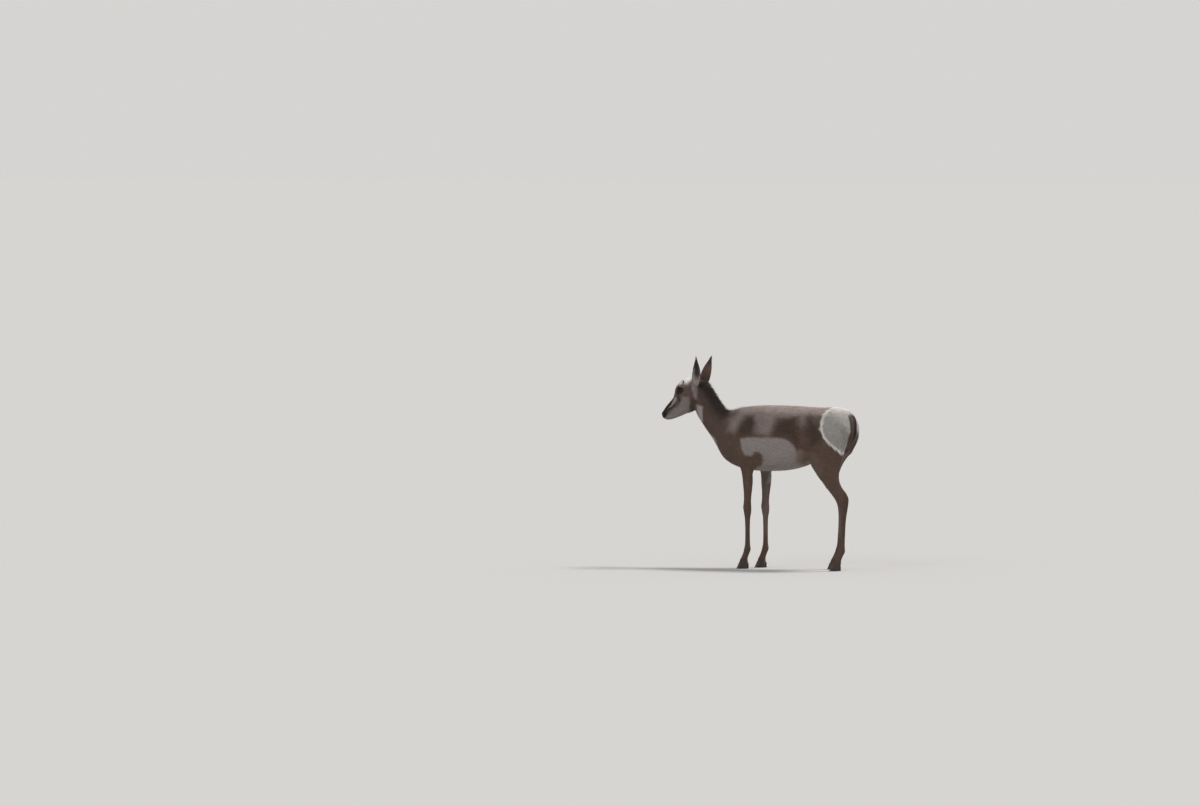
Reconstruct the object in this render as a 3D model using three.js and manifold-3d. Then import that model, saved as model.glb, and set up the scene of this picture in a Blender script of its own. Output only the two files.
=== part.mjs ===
// A life-size standing pronghorn doe, divided at thin cuts into head, neck, trunk, tail,
// ears, eyes, horn buds, legs and hooves. Millimetres, +Z up. She faces -Y, her left side
// is +X, and the origin is on the floor under the middle of her box.
//
// Each fleshy length is lofted through "stations". A station is one cross-section, given by
// its lower (or front) point and its upper (or rear) point in the side view, and its half width.

import * as THREE from "three";
import { mergeVertices } from "three/addons/utils/BufferGeometryUtils.js";
import Module from "manifold-3d";

const wasm = await Module();
wasm.setup();

// ---------------------------------------------------------------- driving dimensions
const GAP = 0.36; // thin cut between neighbouring pieces
const WITHERS_Z = 846; // height of the back, coat included
const BRISKET_Z = 499; // lowest point of the chest
const LEG_X_FRONT = 71; // forelegs' distance from the middle plane
const LEG_X_HIND = 77; // hind legs' distance from the middle plane
const FORE_STEP = 34; // the right foreleg stands this far behind the left one
const HIND_STEP = 86; // the right hind leg stands this far ahead of the left one
const EAR_LENGTH = 150;
const EAR_OPENING_DEG = 80; // the way an ear's hollow faces, from straight ahead to sideways
const EYE_RADIUS = 19.5;
const EYE = { x: 45, y: -545, z: 909 };
const HORN_BUD_LENGTH = 24;
const TAIL_LENGTH = 128;
const HOOF_LENGTH_FRONT = 60;
const HOOF_LENGTH_HIND = 56;
const HOOF_HEIGHT = 38;
const CLEFT = 3.2; // space between the two toes of a foot
const SHIFT_Y = 117.6; // brings the middle of the box over the origin
const SHIFT_X = 0;

// ---------------------------------------------------------------- helpers
// Value of a column at a fractional station, by a Catmull-Rom curve through the stations.
function along(stations, key, t) {
  const n = stations.length - 1;
  const i = Math.min(n - 1, Math.max(0, Math.floor(t)));
  const f = t - i;
  const at = (j) => stations[Math.min(n, Math.max(0, j))][key];
  const [a, b, c, d] = [at(i - 1), at(i), at(i + 1), at(i + 2)];
  return (
    0.5 *
    (2 * b +
      (c - a) * f +
      (2 * a - 5 * b + 4 * c - d) * f * f +
      (3 * b - a - 3 * c + d) * f * f * f)
  );
}

// A closed solid from a geometry, with shared vertices merged and its faces turned outwards.
function solid(geometry) {
  const g = new THREE.BufferGeometry().setAttribute(
    "position",
    (geometry.index ? geometry.toNonIndexed() : geometry).getAttribute("position"),
  );
  const merged = mergeVertices(g, 1e-3);
  let tri = new Uint32Array(merged.index.array);
  const keep = [];
  for (let i = 0; i < tri.length; i += 3)
    if (tri[i] !== tri[i + 1] && tri[i + 1] !== tri[i + 2] && tri[i] !== tri[i + 2])
      keep.push(tri[i], tri[i + 1], tri[i + 2]);
  tri = new Uint32Array(keep);
  const make = () =>
    new wasm.Manifold(
      new wasm.Mesh({
        numProp: 3,
        vertProperties: new Float32Array(merged.attributes.position.array),
        triVerts: tri,
      }),
    );
  let made = make();
  if (made.volume() < 0) {
    for (let i = 0; i < tri.length; i += 3) [tri[i + 1], tri[i + 2]] = [tri[i + 2], tri[i + 1]];
    made = make();
  }
  return made;
}

// Lofts a closed tube through stations {b:[y,z], t:[y,z], w, x, egg, n}. egg widens the upper
// side, n squares the section. fine is the number of rows for each station.
// A swell pushes the surface near a point: {at:[x,y,z], by:[dx,dy,dz], reach}.
function loft(rows, segments, fine, side = 1, swells = []) {
  const st = rows.map((r) => ({
    by: r[0][0],
    bz: r[0][1],
    ty: r[1][0],
    tz: r[1][1],
    w: r[2],
    x: (r[3] || 0) * side,
    egg: r[4] || 0,
    n: r[5] || 2,
  }));
  const count = Math.round((st.length - 1) * fine);
  const tube = new THREE.CylinderGeometry(1, 1, 1, segments, count, false);
  const p = tube.getAttribute("position");
  for (let i = 0; i < p.count; i++) {
    const t = (0.5 - p.getY(i)) * (st.length - 1);
    const radial = Math.min(1, Math.hypot(p.getX(i), p.getZ(i)));
    const angle = Math.atan2(p.getZ(i), p.getX(i));
    const v = (k) => along(st, k, t);
    const [by, bz, ty, tz, w, x, egg, n] = ["by", "bz", "ty", "tz", "w", "x", "egg", "n"].map(v);
    const c = Math.cos(angle),
      s = Math.sin(angle);
    const u = Math.sign(c) * Math.abs(c) ** (2 / n) * w * (1 + egg * s);
    const h = Math.sign(s) * Math.abs(s) ** (2 / n);
    const q = [
      x + radial * u,
      (by + ty) / 2 + (radial * h * (ty - by)) / 2,
      (bz + tz) / 2 + (radial * h * (tz - bz)) / 2,
    ];
    const push = [0, 0, 0];
    for (const { at, by: d, reach } of swells) {
      const far2 = (q[0] - at[0]) ** 2 + (q[1] - at[1]) ** 2 + (q[2] - at[2]) ** 2;
      const share = Math.exp(-far2 / (2 * reach * reach));
      for (let j = 0; j < 3; j++) push[j] += d[j] * share;
    }
    p.setXYZ(i, q[0] + push[0], q[1] + push[1], q[2] + push[2]);
  }
  return solid(tube);
}

// An ellipsoid of flesh or bone, from a sphere.
function lump(x, y, z, rx, ry, rz, turnX = 0, segments = 14) {
  const g = new THREE.SphereGeometry(1, segments, Math.round(segments * 0.6));
  g.scale(rx, ry, rz);
  g.rotateX(turnX);
  g.translate(x, y, z);
  return solid(g);
}

// A straight tapering strut with round ends, such as a tendon.
function strut(a, b, ra, rb, segments = 10) {
  const A = new THREE.Vector3(...a),
    B = new THREE.Vector3(...b);
  const length = A.distanceTo(B);
  const profile = [new THREE.Vector2(0, -ra)];
  for (let k = 1; k <= 3; k++) {
    const q = (k / 3) * (Math.PI / 2);
    profile.push(new THREE.Vector2(ra * Math.sin(q), -ra * Math.cos(q)));
  }
  for (let k = 0; k <= 2; k++) {
    const q = (k / 3) * (Math.PI / 2);
    profile.push(new THREE.Vector2(rb * Math.cos(q), length + rb * Math.sin(q)));
  }
  profile.push(new THREE.Vector2(0, length + rb));
  const g = new THREE.LatheGeometry(profile, segments);
  g.applyQuaternion(
    new THREE.Quaternion().setFromUnitVectors(
      new THREE.Vector3(0, 1, 0),
      B.clone().sub(A).normalize(),
    ),
  );
  g.translate(...a);
  return solid(g);
}

// A prism along X: an outline in the side view [[y, z], ...], from x0 to x1, grown by grow.
function prism(outline, x0, x1, grow) {
  const cy = outline.reduce((s, q) => s + q[0], 0) / outline.length;
  const cz = outline.reduce((s, q) => s + q[1], 0) / outline.length;
  const reach = Math.max(...outline.map((q) => Math.hypot(q[0] - cy, q[1] - cz)));
  const k = 1 + grow / (reach * 0.7);
  const shape = new THREE.Shape(
    outline.map(([y, z]) => new THREE.Vector2(cy + (y - cy) * k, cz + (z - cz) * k)),
  );
  const g = new THREE.ExtrudeGeometry(shape, { depth: x1 - x0 + 2 * grow, bevelEnabled: false });
  // The shape's x is the body's y, its y is the body's z, and its depth is the body's x.
  const m = new THREE.Matrix4().makeBasis(
    new THREE.Vector3(0, 1, 0),
    new THREE.Vector3(0, 0, 1),
    new THREE.Vector3(1, 0, 0),
  );
  g.applyMatrix4(m);
  g.translate(x0 - grow, 0, 0);
  return solid(g);
}

const join = (parts) => parts.reduce((a, b) => a.add(b));

// ---------------------------------------------------------------- trunk
// Stations from the breast to the rump: lower point, upper point, half width, x, egg, squareness.
const trunk = loft(
  [
    [[-343, 612], [-345, 634], 12, 0, 0, 2],
    [[-334, 580], [-338, 676], 40, 0, 0, 2],
    [[-306, 551], [-308, 740], 66, 0, -0.05, 2.1],
    [[-262, 527], [-252, 806], 84, 0, -0.14, 2.1],
    [[-205, 509], [-200, 835], 98, 0, -0.22, 2.1],
    [[-135, BRISKET_Z + 1], [-135, WITHERS_Z - 3], 112, 0, -0.22, 2.1],
    [[-55, BRISKET_Z], [-55, WITHERS_Z], 125, 0, -0.14, 2.15],
    [[30, 503], [30, WITHERS_Z], 133, 0, -0.1, 2.15],
    [[110, 517], [110, 844], 132, 0, -0.08, 2.15],
    [[185, 543], [185, 840], 124, 0, -0.04, 2.15],
    [[255, 577], [250, 838], 117, 0, 0.0, 2.15],
    [[320, 602], [312, 842], 114, 0, -0.02, 2.2],
    [[368, 614], [360, 840], 109, 0, -0.03, 2.2],
    [[402, 634], [398, 820], 97, 0, -0.04, 2.2],
    [[421, 662], [418, 790], 75, 0, -0.03, 2.1],
    [[428, 704], [428, 746], 34, 0, 0, 2],
  ],
  24,
  1.5,
);

// ---------------------------------------------------------------- neck
const neck = loft(
  [
    [[-482, 822], [-446, 962], 30, 0, 0, 2],
    [[-478, 796], [-420, 962], 46, 0, -0.08, 2],
    [[-466, 768], [-397, 934], 48, 0, -0.14, 2],
    [[-440, 733], [-368, 897], 49, 0, -0.16, 2],
    [[-412, 697], [-336, 851], 53, 0, -0.14, 2],
    [[-383, 661], [-296, 812], 62, 0, -0.12, 2],
    [[-356, 620], [-240, 818], 76, 0, -0.14, 2.05],
    [[-330, 585], [-175, 830], 88, 0, -0.16, 2.05],
    [[-290, 590], [-120, 800], 70, 0, 0, 2],
  ],
  20,
  1.5,
);

// ---------------------------------------------------------------- head
const headSwells = [];
for (const s of [1, -1]) {
  headSwells.push({ at: [s * 38, -549, 912], by: [s * 19, -5, 3], reach: 23 }); // brow, socket
  headSwells.push({ at: [s * 44, -515, 846], by: [s * 5, 0, 0], reach: 26 }); // cheek muscle
  headSwells.push({ at: [s * 42, -468, 938], by: [s * 16, 1, 2], reach: 20 }); // ear root
  headSwells.push({ at: [s * 21, -663, 783], by: [s * 2.5, 0, 0], reach: 10 }); // nostril wing
}
const headLoft = loft(
  [
    [[-671, 772], [-676, 786], 9, 0, 0, 2],
    [[-665, 763], [-675, 797], 17, 0, 0, 2.2],
    [[-652, 757], [-663, 812], 22.5, 0, 0.02, 2.3],
    [[-633, 756], [-645, 835], 24.5, 0, 0.0, 2.3],
    [[-610, 761], [-625, 858], 27.5, 0, -0.04, 2.3],
    [[-586, 770], [-608, 880], 33, 0, -0.06, 2.25],
    [[-562, 779], [-599, 906], 40, 0, 0.0, 2.2],
    [[-538, 789], [-589, 933], 46, 0, 0.04, 2.2],
    [[-514, 796], [-566, 958], 49, 0, 0.04, 2.2],
    [[-492, 806], [-534, 975], 49, 0, 0.02, 2.1],
    [[-474, 826], [-492, 979], 44, 0, 0.0, 2],
    [[-458, 860], [-455, 970], 37, 0, 0.0, 2],
    [[-446, 905], [-438, 940], 14, 0, 0, 2],
  ],
  22,
  1.75,
  1,
  headSwells,
);
let head = headLoft;

// Nostrils and the line of the mouth.
for (const s of [1, -1]) {
  head = head.subtract(lump(s * 15, -669, 787, 6, 7, 3.6, 0.9, 8));
  head = head.subtract(strut([s * 17, -666, 770], [s * 31, -622, 777], 2, 1.4, 5));
}

// ---------------------------------------------------------------- ears
// A leaf-shaped shell, hollow on the side that it opens to. With grow, the hollow is filled
// and the outside moves out by that much, which gives the space that an ear needs.
function ear(side, grow = 0) {
  const widths = [15, 21, 25, 25.5, 23.5, 19.5, 13.5, 7, 1.6];
  const depths = [13, 17, 17, 15.5, 13, 10, 7, 4, 1.5];
  const walls = [13, 14, 9, 6, 5, 4.2, 3.6, 3, 1.5];
  const st = widths.map((w, i) => ({ w: w + grow, d: depths[i] + grow, wall: walls[i] }));
  const g = new THREE.CylinderGeometry(1, 1, 1, 14, 10, false);
  const p = g.getAttribute("position");
  const base = new THREE.Vector3(side * 45, -466, 930);
  const tip = new THREE.Vector3(side * 91, -437, 936 + EAR_LENGTH);
  const axis = tip.clone().sub(base).normalize();
  base.addScaledVector(axis, -grow);
  tip.addScaledVector(axis, grow);
  const turn = THREE.MathUtils.degToRad(EAR_OPENING_DEG);
  const open = new THREE.Vector3(side * Math.sin(turn), -Math.cos(turn), 0);
  open.addScaledVector(axis, -open.dot(axis)).normalize();
  const across = new THREE.Vector3().crossVectors(axis, open).normalize();
  const q = new THREE.Vector3();
  for (let i = 0; i < p.count; i++) {
    const t = 0.5 + p.getY(i);
    const k = t * (st.length - 1);
    const radial = Math.min(1, Math.hypot(p.getX(i), p.getZ(i)));
    const a = Math.atan2(p.getZ(i), p.getX(i));
    const w = along(st, "w", k),
      d = along(st, "d", k),
      wall = along(st, "wall", k);
    const rim = Math.cos(a) * w * radial;
    const hollow = grow > 0 ? -grow : d - wall;
    const back = (Math.sin(a) < 0 ? d : -hollow) * Math.sin(a);
    const bow = -8 * Math.sin(Math.PI * t); // the ear bows inwards and its tip turns out
    q.copy(base)
      .lerp(tip, t)
      .addScaledVector(across, rim)
      .addScaledVector(open, radial * back + bow + (radial < 0.5 ? -d * 0.6 : 0));
    p.setXYZ(i, q.x, q.y, q.z);
  }
  return solid(g);
}

// ---------------------------------------------------------------- legs
// Stations: front point, rear point, half width, x. shift moves the lower leg along the body.
function frontLeg(side, step) {
  const X = LEG_X_FRONT;
  const s = (k) => step * k; // the step grows down to the elbow
  const rows = [
    [[-236, 780], [-196, 770], 12, 50],
    [[-258, 748], [-172, 736], 26, 62],
    [[-286, 698], [-150 + s(0.1), 690], 34, 68],
    [[-297 + s(0.1), 645], [-126 + s(0.3), 640], 38, 71],
    [[-264 + s(0.3), 592], [-100 + s(0.6), 596], 37, 73],
    [[-217 + s(0.7), 552], [-99 + s(0.9), 556], 32, 74],
    [[-190 + s(1), 512], [-114 + s(1), 514], 27.5, 74],
    [[-178 + s(1), 462], [-118 + s(1), 464], 24, 73],
    [[-172 + s(1), 400], [-125 + s(1), 400], 20.5, X + 1],
    [[-171 + s(1), 348], [-131 + s(1), 347], 18.5, X],
    [[-174 + s(1), 317], [-130 + s(1), 314], 20.5, X],
    [[-170 + s(1), 288], [-131 + s(1), 286], 18.5, X],
    [[-165 + s(1), 255], [-136 + s(1), 253], 14, X],
    [[-163 + s(1), 185], [-137 + s(1), 184], 12.5, X],
    [[-164 + s(1), 130], [-136 + s(1), 126], 14.5, X],
    [[-168 + s(1), 107], [-133 + s(1), 98], 17.5, X],
    [[-173 + s(1), 86], [-144 + s(1), 72], 16.5, X],
    [[-183 + s(1), 62], [-152 + s(1), 48], 18, X],
    [[-192 + s(1), 42], [-152 + s(1), 30], 20.5, X],
    [[-190 + s(1), 30], [-156 + s(1), 22], 15, X],
  ];
  return loft(rows, 14, 1, side);
}

function hindLeg(side, step) {
  const X = LEG_X_HIND;
  const s = (k) => -step * k;
  const rows = [
    [[284, 790], [350, 786], 18, 56],
    [[238, 758], [390, 758], 42, 63],
    [[212, 712], [414, 724], 52, 66],
    [[194 + s(0.1), 652], [421 + s(0.05), 668], 53, 69],
    [[192 + s(0.3), 598], [410 + s(0.26), 612], 50, 72],
    [[206 + s(0.55), 546], [393 + s(0.62), 560], 43, 75],
    [[246 + s(0.8), 492], [381 + s(0.82), 508], 34, 77, -0.15],
    [[288 + s(0.93), 446], [380 + s(0.94), 462], 26, 78, -0.25],
    [[324 + s(1), 406], [394 + s(1), 430], 20.5, 79, -0.35],
    [[351 + s(1), 374], [419 + s(1), 400], 18.5, 79, -0.35],
    [[371 + s(1), 346], [431 + s(1), 371], 20, 79, -0.25],
    [[381 + s(1), 316], [425 + s(1), 327], 18, 78, -0.1],
    [[384 + s(1), 283], [417 + s(1), 286], 15, X],
    [[384 + s(1), 240], [412 + s(1), 241], 13.5, X],
    [[381 + s(1), 185], [409 + s(1), 185], 13.5, X],
    [[377 + s(1), 130], [407 + s(1), 128], 15.5, X],
    [[371 + s(1), 109], [408 + s(1), 100], 18.5, X],
    [[364 + s(1), 88], [395 + s(1), 74], 17, X],
    [[352 + s(1), 64], [385 + s(1), 50], 18.5, X],
    [[342 + s(1), 43], [383 + s(1), 31], 20.5, X],
    [[345 + s(1), 30], [380 + s(1), 23], 15, X],
  ];
  return loft(rows, 14, 1, side);
}

// ---------------------------------------------------------------- hooves
// One toe: a wedge with a flat sole, a pointed tip and a rounded outer wall.
function toe(side, x, yTip, length, outer) {
  const g = new THREE.CylinderGeometry(1, 1, 1, 12, 3, false);
  const p = g.getAttribute("position");
  const half = 10.6;
  for (let i = 0; i < p.count; i++) {
    const up = 0.5 + p.getY(i); // 0 at the sole, 1 at the coronet
    const radial = Math.min(1, Math.hypot(p.getX(i), p.getZ(i)));
    const a = Math.atan2(p.getZ(i), p.getX(i));
    const c = Math.cos(a) * radial,
      s = Math.sin(a) * radial;
    // s runs from the tip (-1) to the heel (+1). The section narrows to the tip.
    const taper = 1 - 0.52 * Math.max(0, -s) ** 1.6;
    const lengthAt = length * (1 - 0.3 * up);
    const middle = yTip + length * 0.5 + length * 0.15 * up;
    const flare = 1 - 0.1 * up;
    const bow = outer * c > 0 ? 1 : 0.72; // the inner wall is flatter
    const h = HOOF_HEIGHT * (1 - 0.3 * Math.max(0, s) * up) * up;
    p.setXYZ(
      i,
      x + c * half * taper * flare * bow,
      middle + (s * lengthAt) / 2,
      h,
    );
  }
  return solid(g);
}

// ---------------------------------------------------------------- tail
function tail(grow = 0) {
  const g = grow;
  return loft(
    [
      [[397 + g, 806], [386 - g, 826], 8 + g, 0, 0, 2],
      [[414 + g, 804], [393 - g, 820], 18 + g, 0, 0, 2],
      [[430 + g, 789], [405 - g, 798], 20 + g, 0, 0, 2.1],
      [[438 + g, 765], [414 - g, 768], 19 + g, 0, 0, 2.1],
      [[441 + g, 735], [420 - g, 735], 17 + g, 0, 0, 2.1],
      [[440 + g, 708], [424 - g, 707], 14 + g, 0, 0, 2],
      [[438 + g, 690], [427 - g, 689], 9 + g, 0, 0, 2],
      [[434 + g, 806 - TAIL_LENGTH - g], [431 - g, 806 - TAIL_LENGTH - g], 2.5 + g, 0, 0, 2],
    ],
    14,
    1,
  );
}

// ---------------------------------------------------------------- the whole body, then the cuts
const legFL = frontLeg(1, 0),
  legFR = frontLeg(-1, FORE_STEP),
  legHL = hindLeg(1, 0),
  legHR = hindLeg(-1, HIND_STEP);

// Flesh that fills the breast between the shoulders.
const fills = [lump(0, -296, 640, 66, 50, 70, 0.2, 14)];
const body = join([trunk, neck, legFL, legFR, legHL, legHR, ...fills]);

// Regions in the side view that hold each foot and leg.
const far = 400;
const foreLegZone = (y) => [
  [-340, 470], [-268 + y * 0.6, 566], [-84 + y * 0.6, 536], [-10, 440], [-10, 15], [-340, 15],
];
const hindLegZone = [
  [40, 380], [186, 548], [236, 616], [330, 650], [470, 620], [560, 380], [560, 15], [40, 15],
];
const neckPlane = [
  [-345, 596], [-232, 868], [-420, 1200], [-800, 1200], [-800, 500], [-352, 560],
];
const headPlane = [
  [-505, 780], [-462, 846], [-432, 1000], [-420, 1300], [-900, 1300], [-900, 600], [-640, 600],
];

const inZone = (zone, x0, x1) => body.intersect(prism(zone, x0, x1, -GAP / 2));
const outZone = (s, zone, x0, x1) => s.subtract(prism(zone, x0, x1, GAP / 2));
const INNER_F = 44,
  INNER_H = 24;
const largest = (m) =>
  m.decompose().reduce((a, b) => (a.volume() > b.volume() ? a : b));

const zones = {
  leg_front_left: [foreLegZone(0), INNER_F, far],
  leg_front_right: [foreLegZone(FORE_STEP), -far, -INNER_F],
  leg_hind_left: [hindLegZone, INNER_H, far],
  leg_hind_right: [hindLegZone, -far, -INNER_H],
};

const pieces = {};
let trunkPart = body;
for (const [name, [zone, x0, x1]] of Object.entries(zones)) {
  pieces[name] = largest(inZone(zone, x0, x1));
  trunkPart = outZone(trunkPart, zone, x0, x1);
}

// Neck and head.
let neckPart = inZone(neckPlane, -far, far);
trunkPart = largest(outZone(trunkPart, neckPlane, -far, far));
const headInner = head.intersect(prism(headPlane, -far, far, -GAP / 2));
neckPart = outZone(neckPart, headPlane, -far, far);
pieces.trunk = trunkPart;
let headPart = largest(headInner);

// Ears, eyes and horn buds sit in the head with a thin cut round them.
for (const [name, side] of [["left", 1], ["right", -1]]) {
  const eyeAt = (r) => lump(side * EYE.x, EYE.y, EYE.z, r, r, r, 0, 14);
  const bud = (grow) =>
    strut(
      [side * 33, -540, 938],
      [side * 37, -536, 938 + HORN_BUD_LENGTH],
      7 + grow,
      3 + grow,
      8,
    );
  // The lids leave an almond-shaped window, a shallow dish in which the eyeball stands.
  const lids = lump(side * 65, EYE.y - 1, EYE.z, 16, 23, 18, 0.35, 14);
  headPart = headPart
    .subtract(eyeAt(EYE_RADIUS + 1.5 * GAP))
    .subtract(lids)
    .subtract(bud(GAP))
    .subtract(ear(side, GAP));
  pieces["eye_" + name] = eyeAt(EYE_RADIUS);
  pieces["horn_" + name] = bud(0);
  pieces["ear_" + name] = ear(side);
  neckPart = neckPart.subtract(ear(side, GAP));
}
pieces.head = largest(headPart);
pieces.neck = largest(neckPart);

// Tail: the trunk keeps a thin cut round its root.
pieces.trunk = largest(pieces.trunk.subtract(tail(GAP)));
for (const n of ["leg_hind_left", "leg_hind_right"])
  pieces[n] = largest(pieces[n].subtract(tail(GAP)));
pieces.tail = tail();

// Hooves: two toes to each foot, cut clear of the pastern that stands in them.
const feet = {
  front_left: [1, LEG_X_FRONT, -209, HOOF_LENGTH_FRONT],
  front_right: [-1, LEG_X_FRONT, -209 + FORE_STEP, HOOF_LENGTH_FRONT],
  hind_left: [1, LEG_X_HIND, 324, HOOF_LENGTH_HIND],
  hind_right: [-1, LEG_X_HIND, 324 - HIND_STEP, HOOF_LENGTH_HIND],
};
for (const [foot, [side, x, tip, length]] of Object.entries(feet)) {
  const legName = "leg_" + foot;
  const y0 = tip - 20,
    y1 = tip + length + 25;
  const crown = [[y0, 42], [tip + length * 0.4, 37], [y1, 27], [y1, -20], [y0, -20]];
  pieces[legName] = largest(pieces[legName].subtract(prism(crown, -far, far, GAP / 2)));
  const zone = prism(crown, -far, far, -GAP / 2);
  for (const [which, d] of [["outer", 1], ["inner", -1]]) {
    const at = side * (x + d * (CLEFT / 2 + 9));
    const t = toe(side, at, tip, length, side * d);
    pieces["hoof_" + foot + "_" + which] = largest(t.intersect(zone));
  }
}

// ---------------------------------------------------------------- colours and the group
const colours = {
  coat: new THREE.MeshStandardMaterial({ color: 0x8a6a50, roughness: 0.9, metalness: 0 }),
  pale: new THREE.MeshStandardMaterial({ color: 0xd9d4cc, roughness: 0.9, metalness: 0 }),
  horn: new THREE.MeshStandardMaterial({ color: 0x1d1916, roughness: 0.5, metalness: 0 }),
  eye: new THREE.MeshStandardMaterial({ color: 0x0c0a09, roughness: 0.08, metalness: 0 }),
};
const materialOf = (name) =>
  name.startsWith("eye")
    ? colours.eye
    : name.startsWith("hoof") || name.startsWith("horn")
      ? colours.horn
      : name === "tail"
        ? colours.pale
        : colours.coat;

const group = new THREE.Group();
group.name = "pronghorn";
for (const [name, made] of Object.entries(pieces)) {
  const m = made.getMesh();
  const positions = new Float32Array(m.numVert * 3);
  for (let i = 0; i < m.numVert; i++)
    positions.set(m.vertProperties.subarray(i * m.numProp, i * m.numProp + 3), i * 3);
  const g = new THREE.BufferGeometry()
    .setAttribute("position", new THREE.BufferAttribute(positions, 3))
    .setIndex(new THREE.BufferAttribute(m.triVerts, 1));
  g.translate(SHIFT_X, SHIFT_Y, 0);
  g.computeVertexNormals();
  const mesh = new THREE.Mesh(g, materialOf(name));
  mesh.name = name;
  group.add(mesh);
}

export default group;
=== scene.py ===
"""Looks of a life-size standing pronghorn doe: one smooth skin, a coat of solid tufts that
carries the same markings, glossy eyes, dark horn buds and hooves, on a plain pale floor.

Shapes are worked out in millimetres in a body frame (nose towards -Y, left side +X, floor at
z = 0) and moved to the row frame by SHIFT_Y at the end.
"""

import math

import bmesh
import bpy
import numpy as np
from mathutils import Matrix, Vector
from mathutils.bvhtree import BVHTree


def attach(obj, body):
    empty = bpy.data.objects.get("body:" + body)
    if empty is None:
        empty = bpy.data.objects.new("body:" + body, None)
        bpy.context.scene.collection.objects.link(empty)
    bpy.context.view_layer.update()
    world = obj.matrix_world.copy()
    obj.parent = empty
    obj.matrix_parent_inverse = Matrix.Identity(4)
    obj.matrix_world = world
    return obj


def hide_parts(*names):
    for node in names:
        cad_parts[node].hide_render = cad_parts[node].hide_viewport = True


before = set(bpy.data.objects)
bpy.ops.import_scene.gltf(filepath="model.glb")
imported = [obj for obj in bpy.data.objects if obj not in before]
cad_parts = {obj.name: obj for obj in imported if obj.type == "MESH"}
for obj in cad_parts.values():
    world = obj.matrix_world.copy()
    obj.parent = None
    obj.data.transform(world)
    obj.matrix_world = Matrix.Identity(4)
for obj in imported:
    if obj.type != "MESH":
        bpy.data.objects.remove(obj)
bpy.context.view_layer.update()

rng = np.random.default_rng(20451)

# ------------------------------------------------------------------ named sizes (mm)
SHIFT_Y = 117.6
LEG_X_FRONT, LEG_X_HIND = 71.0, 77.0
FORE_STEP, HIND_STEP = 34.0, 86.0
EAR_LENGTH = 150.0
EYE = np.array([45.0, -545.0, 909.0])
EYE_RADIUS = 19.5
EYE_HALF_LENGTH, EYE_HALF_HEIGHT = 17.6, 13.2  # the window between the lids
EYE_TILT = math.radians(26)
TAIL_LENGTH = 128.0
HOOF_HEIGHT = 38.0
VOXEL = 5.3  # cell of the skin's first mesh; the head is made finer from it
TUFTS = 146000


def smooth(a, b, x):
    t = np.clip((x - a) / (b - a), 0, 1)
    return t * t * (3 - 2 * t)


def unit(v):
    return v / (np.linalg.norm(v, axis=-1, keepdims=True) + 1e-12)


# ------------------------------------------------------------------ lofts
def curve(rows, t):
    """Catmull-Rom through the rows of a table, at fractional row numbers t."""
    n = len(rows) - 1
    i = np.clip(np.floor(t).astype(int), 0, n - 1)
    f = (t - i)[:, None]
    a, b = rows[np.clip(i - 1, 0, n)], rows[i]
    c, d = rows[np.clip(i + 1, 0, n)], rows[np.clip(i + 2, 0, n)]
    return 0.5 * (
        2 * b + (c - a) * f + (2 * a - 5 * b + 4 * c - d) * f**2 + (3 * b - a - 3 * c + d) * f**3
    )


def table(rows, side=1):
    """Rows (lower point, upper point, half width, x, egg, squareness) as an array."""
    out = []
    for (by, bz), (ty, tz), w, *rest in rows:
        x, egg, n = (list(rest) + [0, 0, 2])[:3] if len(rest) < 3 else rest[:3]
        if len(rest) == 1:
            x, egg, n = rest[0], 0, 2
        elif len(rest) == 2:
            x, egg, n = rest[0], rest[1], 2
        out.append([by, bz, ty, tz, w, x * side, egg, n])
    return np.array(out, float)


def grid_faces(rings, seg):
    i, j = np.meshgrid(np.arange(rings - 1), np.arange(seg), indexing="ij")
    a, b = i * seg + j, i * seg + (j + 1) % seg
    return np.stack([a, b, b + seg, a + seg], -1).reshape(-1, 4)


def loft(rows, seg, rings, side=1, swells=()):
    R = table(rows, side)
    v = curve(R, np.linspace(0, len(R) - 1, rings))
    by, bz, ty, tz, w, x, egg, n = [v[:, k : k + 1] for k in range(8)]
    a = np.linspace(0, 2 * math.pi, seg, endpoint=False)[None, :]
    c, s = np.cos(a), np.sin(a)
    h = np.sign(s) * np.abs(s) ** (2 / n)
    P = np.stack(
        [
            x + np.sign(c) * np.abs(c) ** (2 / n) * w * (1 + egg * s),
            (by + ty) / 2 + h * (ty - by) / 2,
            (bz + tz) / 2 + h * (tz - bz) / 2,
        ],
        -1,
    ).reshape(-1, 3)
    push = np.zeros_like(P)
    for at, by_, reach in swells:
        share = np.exp(-((P - np.array(at)) ** 2).sum(1) / (2 * reach * reach))
        push += share[:, None] * np.array(by_)
    P = P + push
    faces = grid_faces(rings, seg).tolist()
    ends = [P[:seg].mean(0), P[-seg:].mean(0)]
    k = len(P)
    P = np.vstack([P, ends])
    last = (rings - 1) * seg
    for j in range(seg):
        faces.append([k, (j + 1) % seg, j])
        faces.append([k + 1, last + j, last + (j + 1) % seg])
    return P, faces


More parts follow.
